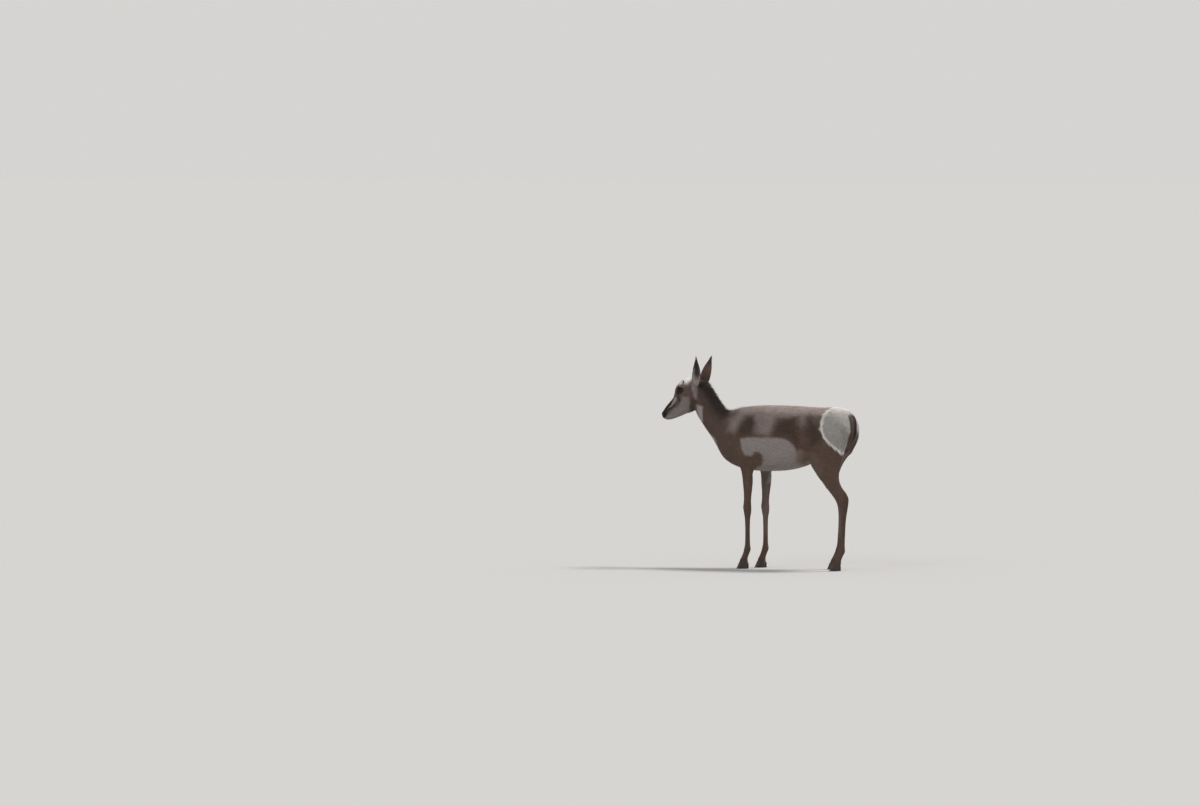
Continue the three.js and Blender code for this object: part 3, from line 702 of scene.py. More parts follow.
def paint(P, N):
    """Colour of skin and coat at points of the body, from the doe's markings, with painted sheen, highlight and
    shade.
    """
    x, y, z = np.abs(P[:, 0]), P[:, 1], P[:, 2]
    n1, n2, n3 = noise(P, 34, 1), noise(P, 11, 2), noise(P, 5, 3)
    wob = np.stack([n2 * 3.2 + n3 * 1.6, noise(P, 11, 5) * 3.2 + noise(P, 5, 6) * 1.6], 1)
    q = P[:, 1:] + wob

    def mix(col, other, share):
        return col + (other - col) * share[:, None]

    col = np.tile(BROWN, (len(P), 1))
    # Painted sheen on the back: its top is painted pale where light falls on it, with the pale and dark fields
    # of the flank under it. The pale fields are partly a paler coat and partly painted highlight on the ribs
    # and shoulder.
    u = 0.891 * y - 0.454 * x + 7 * n1 + 3 * n2
    field = np.stack([u, z + 7 * noise(P, 34, 7) + 2 * n2], 1)
    trunk = smooth(-330, -290, y) * smooth(560, 600, z)
    pale = smooth(768, 814, field[:, 1])
    for poly, share in PALE_COAT_AND_LIT_FIELDS:
        pale = np.maximum(pale, smooth(-26, 20, inside(field, poly)) * share * 0.86)
    col = mix(col, BACK_PALE_AND_SHEEN, pale * trunk * 0.85)
    # The dark fields: partly darker coat, partly painted shade of the hollows behind the shoulder and in the
    # flank.
    for poly, share in DARK_COAT_AND_SHADE_FIELDS:
        col = mix(col, BROWN * 0.34, smooth(-24, 22, inside(field, poly)) * share * trunk)
    col = mix(col, LEG, smooth(560, 470, z) * 0.8)
    fold = smooth(-12, 12, inside(field, [(56, 614), (66, 540), (110, 488), (216, 488), (218, 556), (172, 602), (120, 616)]))
    col = mix(col, np.array([0.245, 0.185, 0.150]), fold * (0.75 - 0.55 * smooth(145, 205, y)))
    col = col * (1 + 0.09 * n1 + 0.05 * n2)[:, None]
    # Neck: darker towards the nape, with the black-brown mane on its ridge.
    neck = smooth(-250, -330, y) * smooth(-500, -470, y) * smooth(600, 680, z)
    col = mix(col, BROWN * np.array([0.78, 0.82, 0.90]), neck * 0.75)
    d = line_distance(P[:, 1:], MANE) + x * 0.62 + n2 * 5
    col = mix(col, BROWN * 0.55, smooth(122, 56, d) * smooth(-270, -310, y) * neck * 0.9)
    col = mix(col, BLACK * 1.6, smooth(80, 38, d) * smooth(-248, -288, y))
    # White side and belly, in a white dimmed well below the rump's as painted shade.
    under = smooth(-0.55, -0.85, N[:, 2]) * smooth(-150, -100, y) * smooth(165, 115, y)
    side = smooth(-8, 9, inside(q, SIDE_PATCH)) * smooth(26, 40, x + (z < 560) * 40)
    col = mix(col, WHITE_DIMMED_BY_SHADE, np.maximum(side, under * smooth(440, 470, z)))
    # Insides of the thighs and the groin.
    groin = smooth(66, 44, x) * smooth(470, 520, z) * smooth(150, 190, y) * (N[:, 2] < 0.3)
    col = mix(col, WHITE_DIMMED_BY_SHADE * 0.9, groin)
    inner = smooth(0.15, 0.6, -np.sign(P[:, 0]) * N[:, 0]) * smooth(700, 560, z)
    inner *= smooth(140, 200, z)
    col = mix(col, CREAM * 0.85, inner * 0.35)
    # Rump patch, crisp at its rim. Painted highlight makes the front rim and the top bright; painted shade
    # greys the inside and darkens it more towards the bottom.
    rump = rump_share(P, 3.4, wob * 0.8)
    rump = rump * np.where(P[:, 0] < -30, smooth(624, 650, z + n2 * 4), 1.0)
    edge = inside(q, RUMP_EDGE)
    white = mix(np.tile(RUMP * 0.60, (len(P), 1)), RUMP * 1.22, smooth(16, 6, edge))
    white = white * (1 - 0.13 * smooth(770, 640, z) * smooth(6, 16, edge))[:, None]
    white = mix(white, RUMP * 1.05, smooth(800, 835, z) * 0.8)
    col = col + (white - col) * rump[:, None]
    # Between the thighs, under the tail, the coat is brown again.
    seam = np.interp(z, [560, 580, 614, 640, 699], [318, 327, 342, 346, 350]) - 38 * (P[:, 0] < -30)
    cleft = smooth(-4, 5, 0.891 * y - 0.454 * x + n2 * 3 - seam) * smooth(716, 698, z)
    cleft = np.maximum(cleft, smooth(60, 46, x + n2 * 3) * smooth(710, 694, z))
    col = mix(col, BROWN * 0.82, cleft * smooth(322, 342, y))
    # Painted shade in the creases on either side of the tail's root.
    tail_root_shade = smooth(42, 32, x + n2 * 3) * smooth(812, 790, z) * smooth(398, 408, y)
    col = mix(col, DARK * 1.3, tail_root_shade * smooth(664, 684, z) * 0.9)
    # Tail: a dark stripe down its back, white at its sides.
    tail = smooth(405, 412, y) * smooth(812, 800, z) * smooth(662, 676, z)
    col = mix(col, BROWN * 1.1, tail * smooth(24, 19, x) * 0.9 * smooth(8, 12, x))
    stripe = smooth(13, 9.0, x + n2 * 2) * smooth(410, 418, y) * smooth(822, 796, z)
    col = mix(col, DARK * 0.6, stripe * smooth(660, 672, z) * (x < 26))
    # Throat bands and breast.
    col = mix(col, CREAM * 1.1, smooth(-6, 7, inside(q, THROAT)) * smooth(56, 44, x * 1.0))
    col = mix(col, CREAM * 0.95, smooth(-7, 8, inside(q, LOWER_THROAT)) * smooth(80, 62, x))
    chest = smooth(-340, -310, y) * smooth(-120, -170, y) * smooth(560, 535, z) * smooth(40, 26, x)
    col = mix(col, CREAM, chest * 0.8)
    # Head.
    head = smooth(-446, -470, y) * smooth(735, 760, z)
    hcol = np.tile(BROWN * np.array([1.10, 1.14, 1.24]), (len(P), 1)) * (1 + 0.08 * n1)[:, None]
    hcol = mix(hcol, CREAM * 0.68, smooth(-9, 10, inside(q, CHEEK)))
    hcol = mix(hcol, CREAM * 0.76, smooth(-6, 8, inside(q, EAR_PATCH)) * smooth(26, 34, x))
    hcol = mix(hcol, CREAM * 1.15, smooth(-3, 4, inside(q, STREAK)) * smooth(14, 22, x) * 0.85)
    jaw = smooth(-0.15, -0.6, N[:, 2]) * smooth(-500, -530, y) * smooth(840, 815, z)
    hcol = mix(hcol, CREAM * 0.86, jaw * 0.8)
    # Painted highlight: the crown painted near white where light catches its top.
    crown_highlight = np.exp(-(((P[:, 1] + 522) / 26) ** 2 + ((x - 20) / 19) ** 2) ** 1.4)
    crown_highlight *= smooth(928, 946, z)
    hcol = mix(hcol, RUMP * 1.4, np.clip(crown_highlight * 1.25, 0, 1))
    temple = np.exp(-(((y + 553) / 9.5) ** 2 + ((x - 29) / 12) ** 2 + ((z - 943) / 10) ** 2))
    hcol = mix(hcol, RUMP * 1.4, np.clip(temple * 1.4, 0, 1))
    bridge = smooth(-4, 6, inside(q, BRIDGE)) * smooth(30, 20, x)
    fade = smooth(-584, -612, y)
    hcol = mix(hcol, DARK * 0.75, bridge * (0.35 + 0.65 * fade))
    top = smooth(0.55, 0.8, N[:, 2] - N[:, 1] * 0.4) * smooth(-600, -570, y) * smooth(26, 12, x)
    hcol = mix(hcol, DARK, top * 0.45 * smooth(948, 925, z))
    dl = line_distance(q, [(-650, 788), (-644, 788), (-624, 810), (-597, 832), (-576, 852)])
    hcol = mix(hcol, DARK, smooth(9, 3.5, dl) * smooth(-560, -600, y) * 0.85)
    du = line_distance(q, [(-560, 892), (-556, 874), (-555, 858)])
    hcol = mix(hcol, DARK, smooth(10, 3, du) * smooth(24, 32, x) * 0.8)
    jawline = inside(q, [(-490, 880), (-470, 862), (-446, 862), (-440, 838), (-476, 834), (-490, 812),
                         (-508, 800), (-505, 822), (-496, 850)])
    hcol = mix(hcol, BROWN * 0.55, smooth(-4, 6, jawline) * 0.7)
    nose = smooth(-635, -645, y + np.maximum(0, 780 - z) * 1.0 + n3)
    hcol = mix(hcol, BLACK, nose * smooth(766, 772, z))
    de = np.stack([x, y, z], 1) - (EYE + np.array([12, -2, 0]))
    de[:, 2] -= 0.32 * de[:, 1]
    de = np.linalg.norm(de * np.array([0.5, 0.90, 1.30]), axis=1)
    hcol = mix(hcol, BLACK * 1.4, smooth(25, 17, de + n3))
    lips = smooth(4.2, 2.0, line_distance(np.stack([x, y, z], 1), MOUTH)) * smooth(-616, -632, y)
    hcol = mix(hcol, BLACK, lips * 0.9)
    col = mix(col, hcol, head)
    # Hair just above each hoof is a little darker.
    col = mix(col, LEG * 0.7, smooth(62, 44, z) * 0.7)
    return np.clip(col * (1 + 0.05 * n3)[:, None], 0.004, 0.9)


def paint_ear(t, rim, hollow, P):
    n = noise(P, 6, 9)
    out = BROWN * np.array([0.80, 0.76, 0.76]) * (1 + 0.1 * n)[:, None]
    out = out + (BLACK * 2 - out) * (smooth(0.55, 0.80, t + 0.03 * n))[:, None]
    edge = smooth(0.78, 0.97, np.abs(rim))
    # Pale hair lines the hollow. It is painted darker towards the middle and up the ear, and darker still in
    # the deep middle, as painted shade of the hollow.
    inner = CREAM * (0.92 - 0.42 * smooth(0.1, 0.5, t) * smooth(0.9, 0.5, np.abs(rim)))[:, None]
    inner = inner * (1 + 0.12 * n)[:, None]
    hollow_shade = smooth(0.92, 0.42, np.abs(rim + 0.05)) * smooth(0.95, 0.7, t) * smooth(0.14, 0.36, t)
    inner = inner + (DARK * 0.9 - inner) * (hollow_shade * 0.9)[:, None]
    inner = inner + (BLACK * 2.2 - inner) * smooth(0.40, 0.64, t + 0.03 * n)[:, None]
    col = out + (inner - out) * hollow[:, None]
    return np.clip(col + (DARK - col) * (edge * smooth(0.35, 0.6, t) * 0.8)[:, None], 0.004, 0.9)


# ------------------------------------------------------------------ one skin object
body_faces = [list(p.vertices) for p in skin_me.polygons]
P = verts(skin_me)
T = triangles(skin_me)
N = normals(P, T)
C = paint(P, N)
ears = {s: ear(s) for s in (1, -1)}
allV, allF, allC = [P], list(body_faces), [C]
base = len(P)
for s in (1, -1):
    V, f, tt, rr, inn = ears[s]
    allV.append(V)
    allC.append(paint_ear(tt, rr, inn, V))
    allF += [[i + base for i in q] for q in f]
    base += len(V)


def lid_ring(side):
    """The thick dark margin of the lids, as a closed tube round the slit."""
    Ce, A, B, O = eye_frame(side)
    n, k = 72, 10
    th = np.linspace(0, 2 * math.pi, n, endpoint=False)
    pts = []
    for a in th:
        lo, hi = 0.0, 40.0
        for _ in range(26):
            m = (lo + hi) / 2
            if slit(np.array(m * math.cos(a)), np.array(m * math.sin(a))) < 1:
                lo = m
            else:
                hi = m
        pts.append((lo * math.cos(a), lo * math.sin(a)))
    hv = np.array(pts)
    r2 = (hv**2).sum(1)
    d = np.sqrt(np.maximum(EYE_RADIUS**2 - r2, 0)) + 0.55
    ring = Ce + hv[:, :1] * A + hv[:, 1:] * B + d[:, None] * O
    thick = np.where(hv[:, 1] > 0, 1.75, 1.25)
    tan = unit(np.roll(ring, -1, 0) - np.roll(ring, 1, 0))
    outw = unit(ring - Ce)
    sidew = np.cross(tan, outw)
    ph = np.linspace(0, 2 * math.pi, k, endpoint=False)
    V = ring[:, None, :] + thick[:, None, None] * (
        np.cos(ph)[None, :, None] * outw[:, None, :] + np.sin(ph)[None, :, None] * sidew[:, None, :]
    )
    i, j = np.meshgrid(np.arange(n), np.arange(k), indexing="ij")
    f = np.stack(
        [i * k + j, ((i + 1) % n) * k + j, ((i + 1) % n) * k + (j + 1) % k, i * k + (j + 1) % k], -1
    ).reshape(-1, 4)
    V = V.reshape(-1, 3)
    nn = np.cross(V[f[0][1]] - V[f[0][0]], V[f[0][3]] - V[f[0][0]])
    if nn @ (V[f[0][0]] - ring[0]) < 0:
        f = f[:, ::-1]
    return V, f.tolist()


for s in (1, -1):
    V, f = lid_ring(s)
    allV.append(V)
    allC.append(np.tile(BLACK * 1.1, (len(V), 1)))
    allF += [[i + base for i in q] for q in f]
    base += len(V)

TO_ROW = lambda V: (V + np.array([0, SHIFT_Y, 0])) * 0.001


def colour_attribute(me, cols, name="coat_colour"):
    att = me.color_attributes.new(name, "FLOAT_COLOR", "POINT")
    rgba = np.ones((len(cols), 4), np.float32)
    rgba[:, :3] = cols
    att.data.foreach_set("color", rgba.ravel())
    me.color_attributes.active_color = att


skin = new_mesh("skin", TO_ROW(np.vstack(allV)), allF)
colour_attribute(skin.data, np.vstack(allC))
skin.data.polygons.foreach_set("use_smooth", [True] * len(skin.data.polygons))
bpy.data.meshes.remove(skin_me)

# ------------------------------------------------------------------ lie and length of the coat
# Each row: |x|, y, z, direction (outwards, back, up), tuft length, width, height of its tip, reach
LIE = [
    (6, -672, 786, 0.1, 0.5, 0.7, 3.0, 1.0, 0.5, 12),
    (20, -655, 775, 0.1, 0.95, 0.1, 3.5, 1.0, 0.5, 16),
    (8, -640, 840, 0.1, 0.62, 0.78, 5.0, 1.2, 0.6, 20),
    (24, -620, 800, 0.0, 0.92, 0.38, 5.0, 1.2, 0.6, 22),
    (10, -600, 880, 0.15, 0.5, 0.85, 6.5, 1.4, 0.8, 20),
    (36, -580, 850, 0.0, 0.9, 0.42, 6.0, 1.4, 0.8, 22),
    (14, -580, 925, 0.25, 0.55, 0.8, 8.0, 1.6, 1.2, 18),
    (12, -548, 962, 0.2, 0.85, 0.5, 12.0, 1.9, 2.4, 18),
    (14, -515, 976, 0.15, 0.95, 0.28, 18.0, 2.4, 4.5, 18),
    (20, -480, 978, 0.3, 0.95, 0.1, 20.0, 2.6, 5.0, 18),
    (55, -545, 935, 0.2, 0.9, 0.35, 6.0, 1.3, 1.0, 14),
    (52, -545, 880, 0.0, 0.95, -0.1, 6.0, 1.3, 0.8, 18),
    (48, -505, 905, 0.0, 1.0, 0.1, 8.5, 1.8, 1.6, 24),
    (44, -520, 830, 0.0, 0.98, 0.0, 8.5, 1.8, 1.4, 26),
    (20, -560, 785, 0.2, 0.97, 0.15, 8.0, 1.7, 1.2, 26),
    (15, -500, 800, 0.4, 0.95, 0.1, 12.0, 2.2, 2.6, 24),
    (50, -462, 926, 0.2, 0.6, -0.8, 14.0, 2.4, 3.0, 20),
    (46, -486, 950, 0.3, 0.35, 0.9, 15.0, 2.1, 3.4, 15),
    (62, -474, 926, 0.4, 0.2, 0.9, 13.0, 2.1, 3.4, 11),
    (46, -470, 870, 0.1, 0.75, -0.6, 14.0, 2.4, 3.4, 28),
    (20, -430, 960, 0.3, 0.75, -0.5, 30.0, 3.0, 7.0, 26),
    (48, -420, 850, 0.1, 0.7, -0.72, 22.0, 3.0, 5.5, 46),
    (20, -470, 790, 0.3, 0.5, -0.8, 20.0, 2.8, 5.0, 34),
    (18, -370, 890, 0.2, 0.66, -0.75, 34.0, 3.0, 7.5, 34),
    (54, -370, 760, 0.1, 0.66, -0.75, 25.0, 3.1, 6.5, 50),
    (20, -400, 700, 0.35, 0.45, -0.85, 24.0, 3.0, 6.5, 40),
    (30, -300, 815, 0.2, 0.9, -0.4, 28.0, 3.1, 7.0, 40),
    (80, -280, 700, 0.05, 0.75, -0.62, 26.0, 3.2, 6.5, 56),
    (30, -330, 610, 0.3, 0.75, -0.6, 26.0, 3.2, 7.0, 50),
    (30, -200, 838, 0.15, 0.98, -0.1, 27.0, 3.2, 6.5, 50),
    (108, -180, 640, 0.0, 0.72, -0.7, 24.0, 3.2, 6.0, 56),
    (60, -200, 520, 0.1, 0.85, -0.5, 20.0, 3.0, 5.0, 40),
    (20, -100, 846, 0.1, 1.0, -0.02, 27.0, 3.2, 6.5, 70),
    (122, -60, 700, 0.0, 0.9, -0.42, 27.0, 3.3, 6.5, 70),
    (60, -40, 505, 0.1, 0.98, 0.0, 26.0, 3.2, 6.0, 60),
    (20, 80, 846, 0.1, 1.0, -0.02, 27.0, 3.2, 6.5, 70),
    (130, 80, 700, 0.0, 0.92, -0.38, 28.0, 3.3, 6.5, 70),
    (60, 100, 520, 0.1, 0.99, 0.1, 26.0, 3.2, 6.0, 60),
    (118, 190, 640, 0.0, 0.75, -0.5, 26.0, 3.2, 6.0, 50),
    (30, 230, 838, 0.15, 1.0, -0.05, 27.0, 3.2, 6.5, 60),
    (112, 260, 760, 0.05, 0.85, -0.5, 27.0, 3.3, 6.5, 50),
    (118, 260, 620, 0.0, 0.6, -0.8, 22.0, 3.2, 5.0, 56),
    (30, 340, 840, 0.3, 0.98, -0.25, 30.0, 3.3, 8.0, 40),
    (105, 345, 760, 0.4, 0.62, -0.72, 34.0, 3.4, 9.5, 46),
    (100, 360, 680, 0.2, 0.5, -0.88, 34.0, 3.4, 9.0, 46),
    (60, 425, 740, 0.75, 0.2, -0.66, 34.0, 3.4, 9.0, 40),
    (40, 410, 790, 0.7, 0.4, -0.6, 34.0, 3.4, 9.0, 34),
    (60, 405, 640, 0.3, 0.0, -0.95, 30.0, 3.3, 7.5, 40),
    (100, 330, 560, 0.0, 0.4, -0.92, 17.0, 3.0, 3.6, 50),
    (60, 300, 560, 0.0, 0.4, -0.9, 18.0, 3.0, 4.0, 50),
    (78, 350, 460, 0.0, 0.35, -0.94, 12.0, 2.5, 2.4, 46),
    (80, 340, 380, 0.0, 0.3, -0.95, 9.0, 2.1, 1.8, 46),
    (74, -140, 470, 0.0, 0.15, -1.0, 13.0, 2.6, 2.6, 46),
    (72, -140, 380, 0.0, 0.1, -1.0, 9.5, 2.1, 1.8, 46),
    (74, 300, 250, 0.0, 0.05, -1.0, 6.5, 1.7, 1.1, 60),
    (74, -140, 250, 0.0, 0.05, -1.0, 6.5, 1.7, 1.1, 60),
    (74, 300, 120, 0.0, 0.1, -1.0, 6.5, 1.7, 1.1, 50),
    (74, -140, 120, 0.0, 0.1, -1.0, 6.5, 1.7, 1.1, 50),
    (74, 300, 62, 0.0, -0.3, -1.0, 8.0, 1.8, 1.3, 20),
    (74, -140, 62, 0.0, -0.3, -1.0, 8.0, 1.8, 1.3, 20),
    (74, 350, 42, 0.0, -0.25, -1.0, 15.0, 2.1, 3.6, 11),
    (74, 270, 42, 0.0, -0.25, -1.0, 15.0, 2.1, 3.6, 11),
    (74, -150, 42, 0.0, -0.25, -1.0, 15.0, 2.1, 3.6, 11),
    (74, -180, 42, 0.0, -0.25, -1.0, 15.0, 2.1, 3.6, 11),
]
LIE = np.array(LIE, float)


def coat_at(P, N):
    """Direction, length, width and tip height of the tufts at points of the skin."""
    x = np.abs(P[:, 0])
    q = np.stack([x, P[:, 1], P[:, 2]], 1)
    num = np.zeros((len(P), 6))
    den = np.zeros(len(P))
    for row in LIE:
        d2 = (((q - row[:3]) / row[9]) ** 2).sum(1)
        w = np.exp(-0.9 * d2) + 1e-5 / (1 + d2 * d2)
        num += w[:, None] * row[3:9]
        den += w
    v = num / den[:, None]
    D = v[:, :3].copy()
    D[:, 0] *= np.sign(P[:, 0]) * smooth(0, 8, x)
    L, W, H = v[:, 3], v[:, 4], v[:, 5] * (1 - 0.26 * smooth(3.5, 6, v[:, 5]))
    mane = nape_share(P) * smooth(-600, -500, P[:, 1])
    D = D * (1 - mane[:, None]) + np.array([0, 0.72, -0.30]) * mane[:, None]
    H = H * (1 - 0.3 * smooth(-250, -300, P[:, 1]) * smooth(-505, -470, P[:, 1]))
    L = L * (1 - mane) + 45 * mane
    H = H * (1 - mane) + 22 * mane
    tail = smooth(404, 414, P[:, 1]) * smooth(34, 20, x) * smooth(830, 800, P[:, 2])
    tail *= smooth(650, 670, P[:, 2])
    D = D * (1 - tail[:, None]) + np.array([0, 0.12, -1]) * tail[:, None]
    L = L * (1 - tail) + 26 * tail
    H = H * (1 - tail) + 3.6 * tail
    D[:, 0] += 0.14 * noise(P, 30, 21)
    D[:, 1] += 0.14 * noise(P, 30, 22)
    D[:, 2] += 0.14 * noise(P, 30, 23)
    D = unit(D - N * (D * N).sum(1, keepdims=True))
    return D, L, W, H


# ------------------------------------------------------------------ tufts
skin_tree = BVHTree.FromPolygons([Vector(p) for p in P], T.tolist())
ear_trees = {
    s: BVHTree.FromPolygons([Vector(p) for p in ears[s][0]], ears[s][1]) for s in (1, -1)
}


def snap(tree, Q):
    """Nearest points on the skin and their normals."""
    out, nor = np.empty_like(Q), np.empty_like(Q)
    find = tree.find_nearest
    for i, q in enumerate(Q.tolist()):
        a, b, _, _ = find(q)
        out[i], nor[i] = a, b
    return out, nor


TUFT_FACES = np.array(
    [(0, 1, 2), (0, 2, 5), (0, 5, 3), (2, 1, 4), (2, 4, 5), (1, 0, 3), (1, 3, 4), (3, 5, 6),
     (5, 4, 6), (4, 3, 6)]
)


def tuft_arrays(tree, R, N, D, L, W, H, bend=0.0):
    """Seven vertices for each tuft: a three-sided lock that lies along the skin."""
    L, W, H = L[:, None], W[:, None], H[:, None]
    M, Nm = snap(tree, R + D * L * 0.5)
    Dm = unit(D + bend - Nm * ((D + bend) * Nm).sum(1, keepdims=True))
    E_, Ne = snap(tree, M + Dm * L * 0.5)
    # On a thin ear the nearest wall can be the far one: keep to the root's own side.
    far = ((Nm * N).sum(1) < 0.1)[:, None]
    M, Nm = np.where(far, R + D * L * 0.5, M), np.where(far, N, Nm)
    far = ((Ne * Nm).sum(1) < 0.1)[:, None]
    E_, Ne = np.where(far, M + Dm * L * 0.5, E_), np.where(far, Nm, Ne)
    Nm, Ne = unit(N * 0.5 + Nm), unit(Nm * 0.4 + Ne)
    S, Sm = unit(np.cross(D, N)), unit(np.cross(Dm, Nm))
    th = W * 0.34
    mid = M + Nm * H * 0.5
    V = np.stack(
        [
            R - S * W * 0.5 - N * 0.5,
            R + S * W * 0.5 - N * 0.5,
            R + N * th,
            mid - Sm * W * 0.45,
            mid + Sm * W * 0.45,
            mid + Nm * th,
            E_ + Ne * H,
        ],
        1,
    )
    soft = np.stack(
        [
            unit(N - S * 0.45), unit(N + S * 0.45), N,
            unit(Nm - Sm * 0.45), unit(Nm + Sm * 0.45), Nm, unit(Ne + Dm * 0.15),
        ],
        1,
    )
    return V, soft


def coat_piece(name, V, soft, col, uv):
    """One mesh from tuft arrays. col holds root and tip colours, uv the root's place."""
    n = len(V)
    me = bpy.data.meshes.new(name)
    me.vertices.add(n * 7)
    me.vertices.foreach_set("co", TO_ROW(V.reshape(-1, 3)).astype(np.float32).ravel())
    F = (TUFT_FACES[None] + (np.arange(n) * 7)[:, None, None]).reshape(-1, 3)
    me.loops.add(F.size)
    me.loops.foreach_set("vertex_index", F.astype(np.int32).ravel())
    me.polygons.add(len(F))
    me.polygons.foreach_set("loop_start", np.arange(0, F.size, 3, dtype=np.int32))
    me.update(calc_edges=True)
    me.polygons.foreach_set("use_smooth", np.ones(len(F), bool))
    # The root's painted shade fades out along the lock towards the lighter tip.
    root, tip = col
    ramp = np.array([0.0, 0.0, 0.15, 0.6, 0.6, 0.7, 1.0])[None, :, None]
    c = root[:, None, :] * (1 - ramp) + tip[:, None, :] * ramp
    colour_attribute(me, c.reshape(-1, 3))
    layer = me.uv_layers.new(name="OFBake")
    across = np.array([-1, 1, 0, -1, 1, 0, 0]) * 0.0014
    down = np.array([-1, -1, -1, 0, 0, 0, 1]) * 0.0014
    u = uv[:, None, :] + np.stack([across, down], -1)[None]
    layer.data.foreach_set("uv", u.reshape(-1, 2)[F.ravel()].astype(np.float32).ravel())
    me.normals_split_custom_set_from_vertices(soft.reshape(-1, 3).astype(np.float32))
    ob = bpy.data.objects.new(name, me)
    bpy.context.scene.collection.objects.link(ob)
    return ob


def scatter(P, T, density, count):
    """Random roots on triangles: triangle numbers and barycentric weights."""
    a, b, c = P[T[:, 0]], P[T[:, 1]], P[T[:, 2]]
    area = np.linalg.norm(np.cross(b - a, c - a), axis=1) / 2 * density
    cum = np.cumsum(area)
    pick = np.searchsorted(cum, (np.arange(count) + rng.random(count)) / count * cum[-1])
    pick = np.clip(pick, 0, len(T) - 1)
    r1, r2 = np.sqrt(rng.random(count)), rng.random(count)
    w = np.stack([1 - r1, r1 * (1 - r2), r1 * r2], 1)
    return pick, w


def tint(col, spread=0.115):
    """Root and tip colours with a different tone for each tuft: painted shade darkens the root, and the tip is
    a little lighter.
    """
    k = np.exp(rng.normal(0, spread, len(col)))[:, None]
    warm = rng.normal(0, 0.035, len(col))[:, None] * np.array([1, 0, -1])
    c = col * k * (1 + warm)
    return np.clip(c * 0.76, 0.003, 0.9), np.clip(c * 1.08, 0.003, 0.92)


# Density by zone: finer tufts stand closer together.
mid = P[T].mean(1)
Nt = normals(P, T)[T[:, 0]]
_, Lz, Wz, _ = coat_at(mid, Nt)
density = 4.6 / (np.maximum(Lz, 4) * np.maximum(Wz, 0.9)) * np.clip(Lz / 14, 0.42, 1.25)
head_zone = (mid[:, 1] < -455) & (mid[:, 2] > 735)
density[head_zone] *= 0.95
bare = np.ones(len(mid))
for side in (1, -1):
    Ce, A, B, O = eye_frame(side)
    q = mid - Ce
    f = slit(q @ A, q @ B)
    close = ((q @ O) > 0) & (np.hypot(q @ A, q @ B) < 30)
    bare *= np.where(close, smooth(1.25, 1.55, f) * (1 + 1.2 * smooth(3, 1.5, f)), 1.0)
bare *= 1 - smooth(-655, -661, mid[:, 1]) * smooth(767, 770, mid[:, 2])
bare *= smooth(2.2, 3.6, line_distance(np.stack([np.abs(mid[:, 0]), mid[:, 1], mid[:, 2]], 1), MOUTH))
bare *= smooth(30, 36, mid[:, 2]) * (1 + 1.3 * smooth(56, 46, mid[:, 2]))
density *= bare
pick, w = scatter(P, T, density, int(TUFTS * 0.945))
R = (P[T[pick]] * w[..., None]).sum(1)
NN = normals(P, T)
Nr = unit((NN[T[pick]] * w[..., None]).sum(1))
D, L, W, H = coat_at(R, Nr)
vary = np.exp(rng.normal(0, 0.16, len(R)))
L = L * vary
W = W * np.exp(rng.normal(0, 0.18, len(R)))
H = H * (0.45 + 0.75 * rng.random(len(R)))
# The rump patch's front rim stands out a little.
rim = np.exp(-(((inside(R[:, 1:], RUMP_EDGE) - 9) / 9) ** 2))
H = H * (1 + 0.30 * rim * smooth(60, 80, np.abs(R[:, 0])))
# The two lobes of the rump stand out behind the tail.
lobe = np.exp(-(((np.abs(R[:, 0]) - 62) / 24) ** 2 + ((R[:, 2] - 735) / 52) ** 2)) * smooth(392, 408, R[:, 1])
H, L = H + 7.5 * lobe, L + 5 * lobe
jit = rng.normal(0, 0.16, (len(R), 3))
D = unit(D + jit - Nr * ((D + jit) * Nr).sum(1, keepdims=True))
for side in (1, -1):
    Ce, A, B, O = eye_frame(side)
    q = R - Ce
    h, v = q @ A, q @ B
    f = slit(h, v)
    turn = smooth(3.6, 1.4, f) * ((q @ O) > 4) * (np.hypot(h, v) < 30)
    away = h[:, None] * A + v[:, None] * B
    D = unit(D * (1 - 0.85 * turn[:, None]) + unit(away) * 0.85 * turn[:, None] + 1e-9)
    D = unit(D - Nr * (D * Nr).sum(1, keepdims=True))
V, soft = tuft_arrays(skin_tree, R, Nr, D, L, W, H)
root_c, tip_c = tint(paint(R + D * (L * 0.58)[:, None], Nr))

x, y, z = R.T
is_head = (y < -452) & (z > 735)
is_neck = ~is_head & (y < -268) & (z > 575)
is_leg = ~is_head & ~is_neck & (z < 505 + 70 * (y > 150)) & ~((np.abs(x) < 40) & (z > 470))
is_tail = (y > 404) & (np.abs(x) < 24) & (z > 660) & (z < 826)
zones = {
    "coat_head_left": is_head & (x >= 0),
    "coat_head_right": is_head & (x < 0),
    "coat_neck_left": is_neck & (x >= 0),
    "coat_neck_right": is_neck & (x < 0),
    "coat_leg_front_left": is_leg & (y < 60) & (x >= 0),
    "coat_leg_front_right": is_leg & (y < 60) & (x < 0),
    "coat_leg_hind_left": is_leg & (y >= 60) & (x >= 0),
    "coat_leg_hind_right": is_leg & (y >= 60) & (x < 0),
}
rest = ~(is_head | is_neck | is_leg)
zones["coat_tail"] = rest & is_tail
rest &= ~is_tail
for sname, sel in (("left", x >= 0), ("right", x < 0)):
    zones["coat_side_front_" + sname] = rest & sel & (y < 20)
    zones["coat_side_rear_" + sname] = rest & sel & (y >= 20)


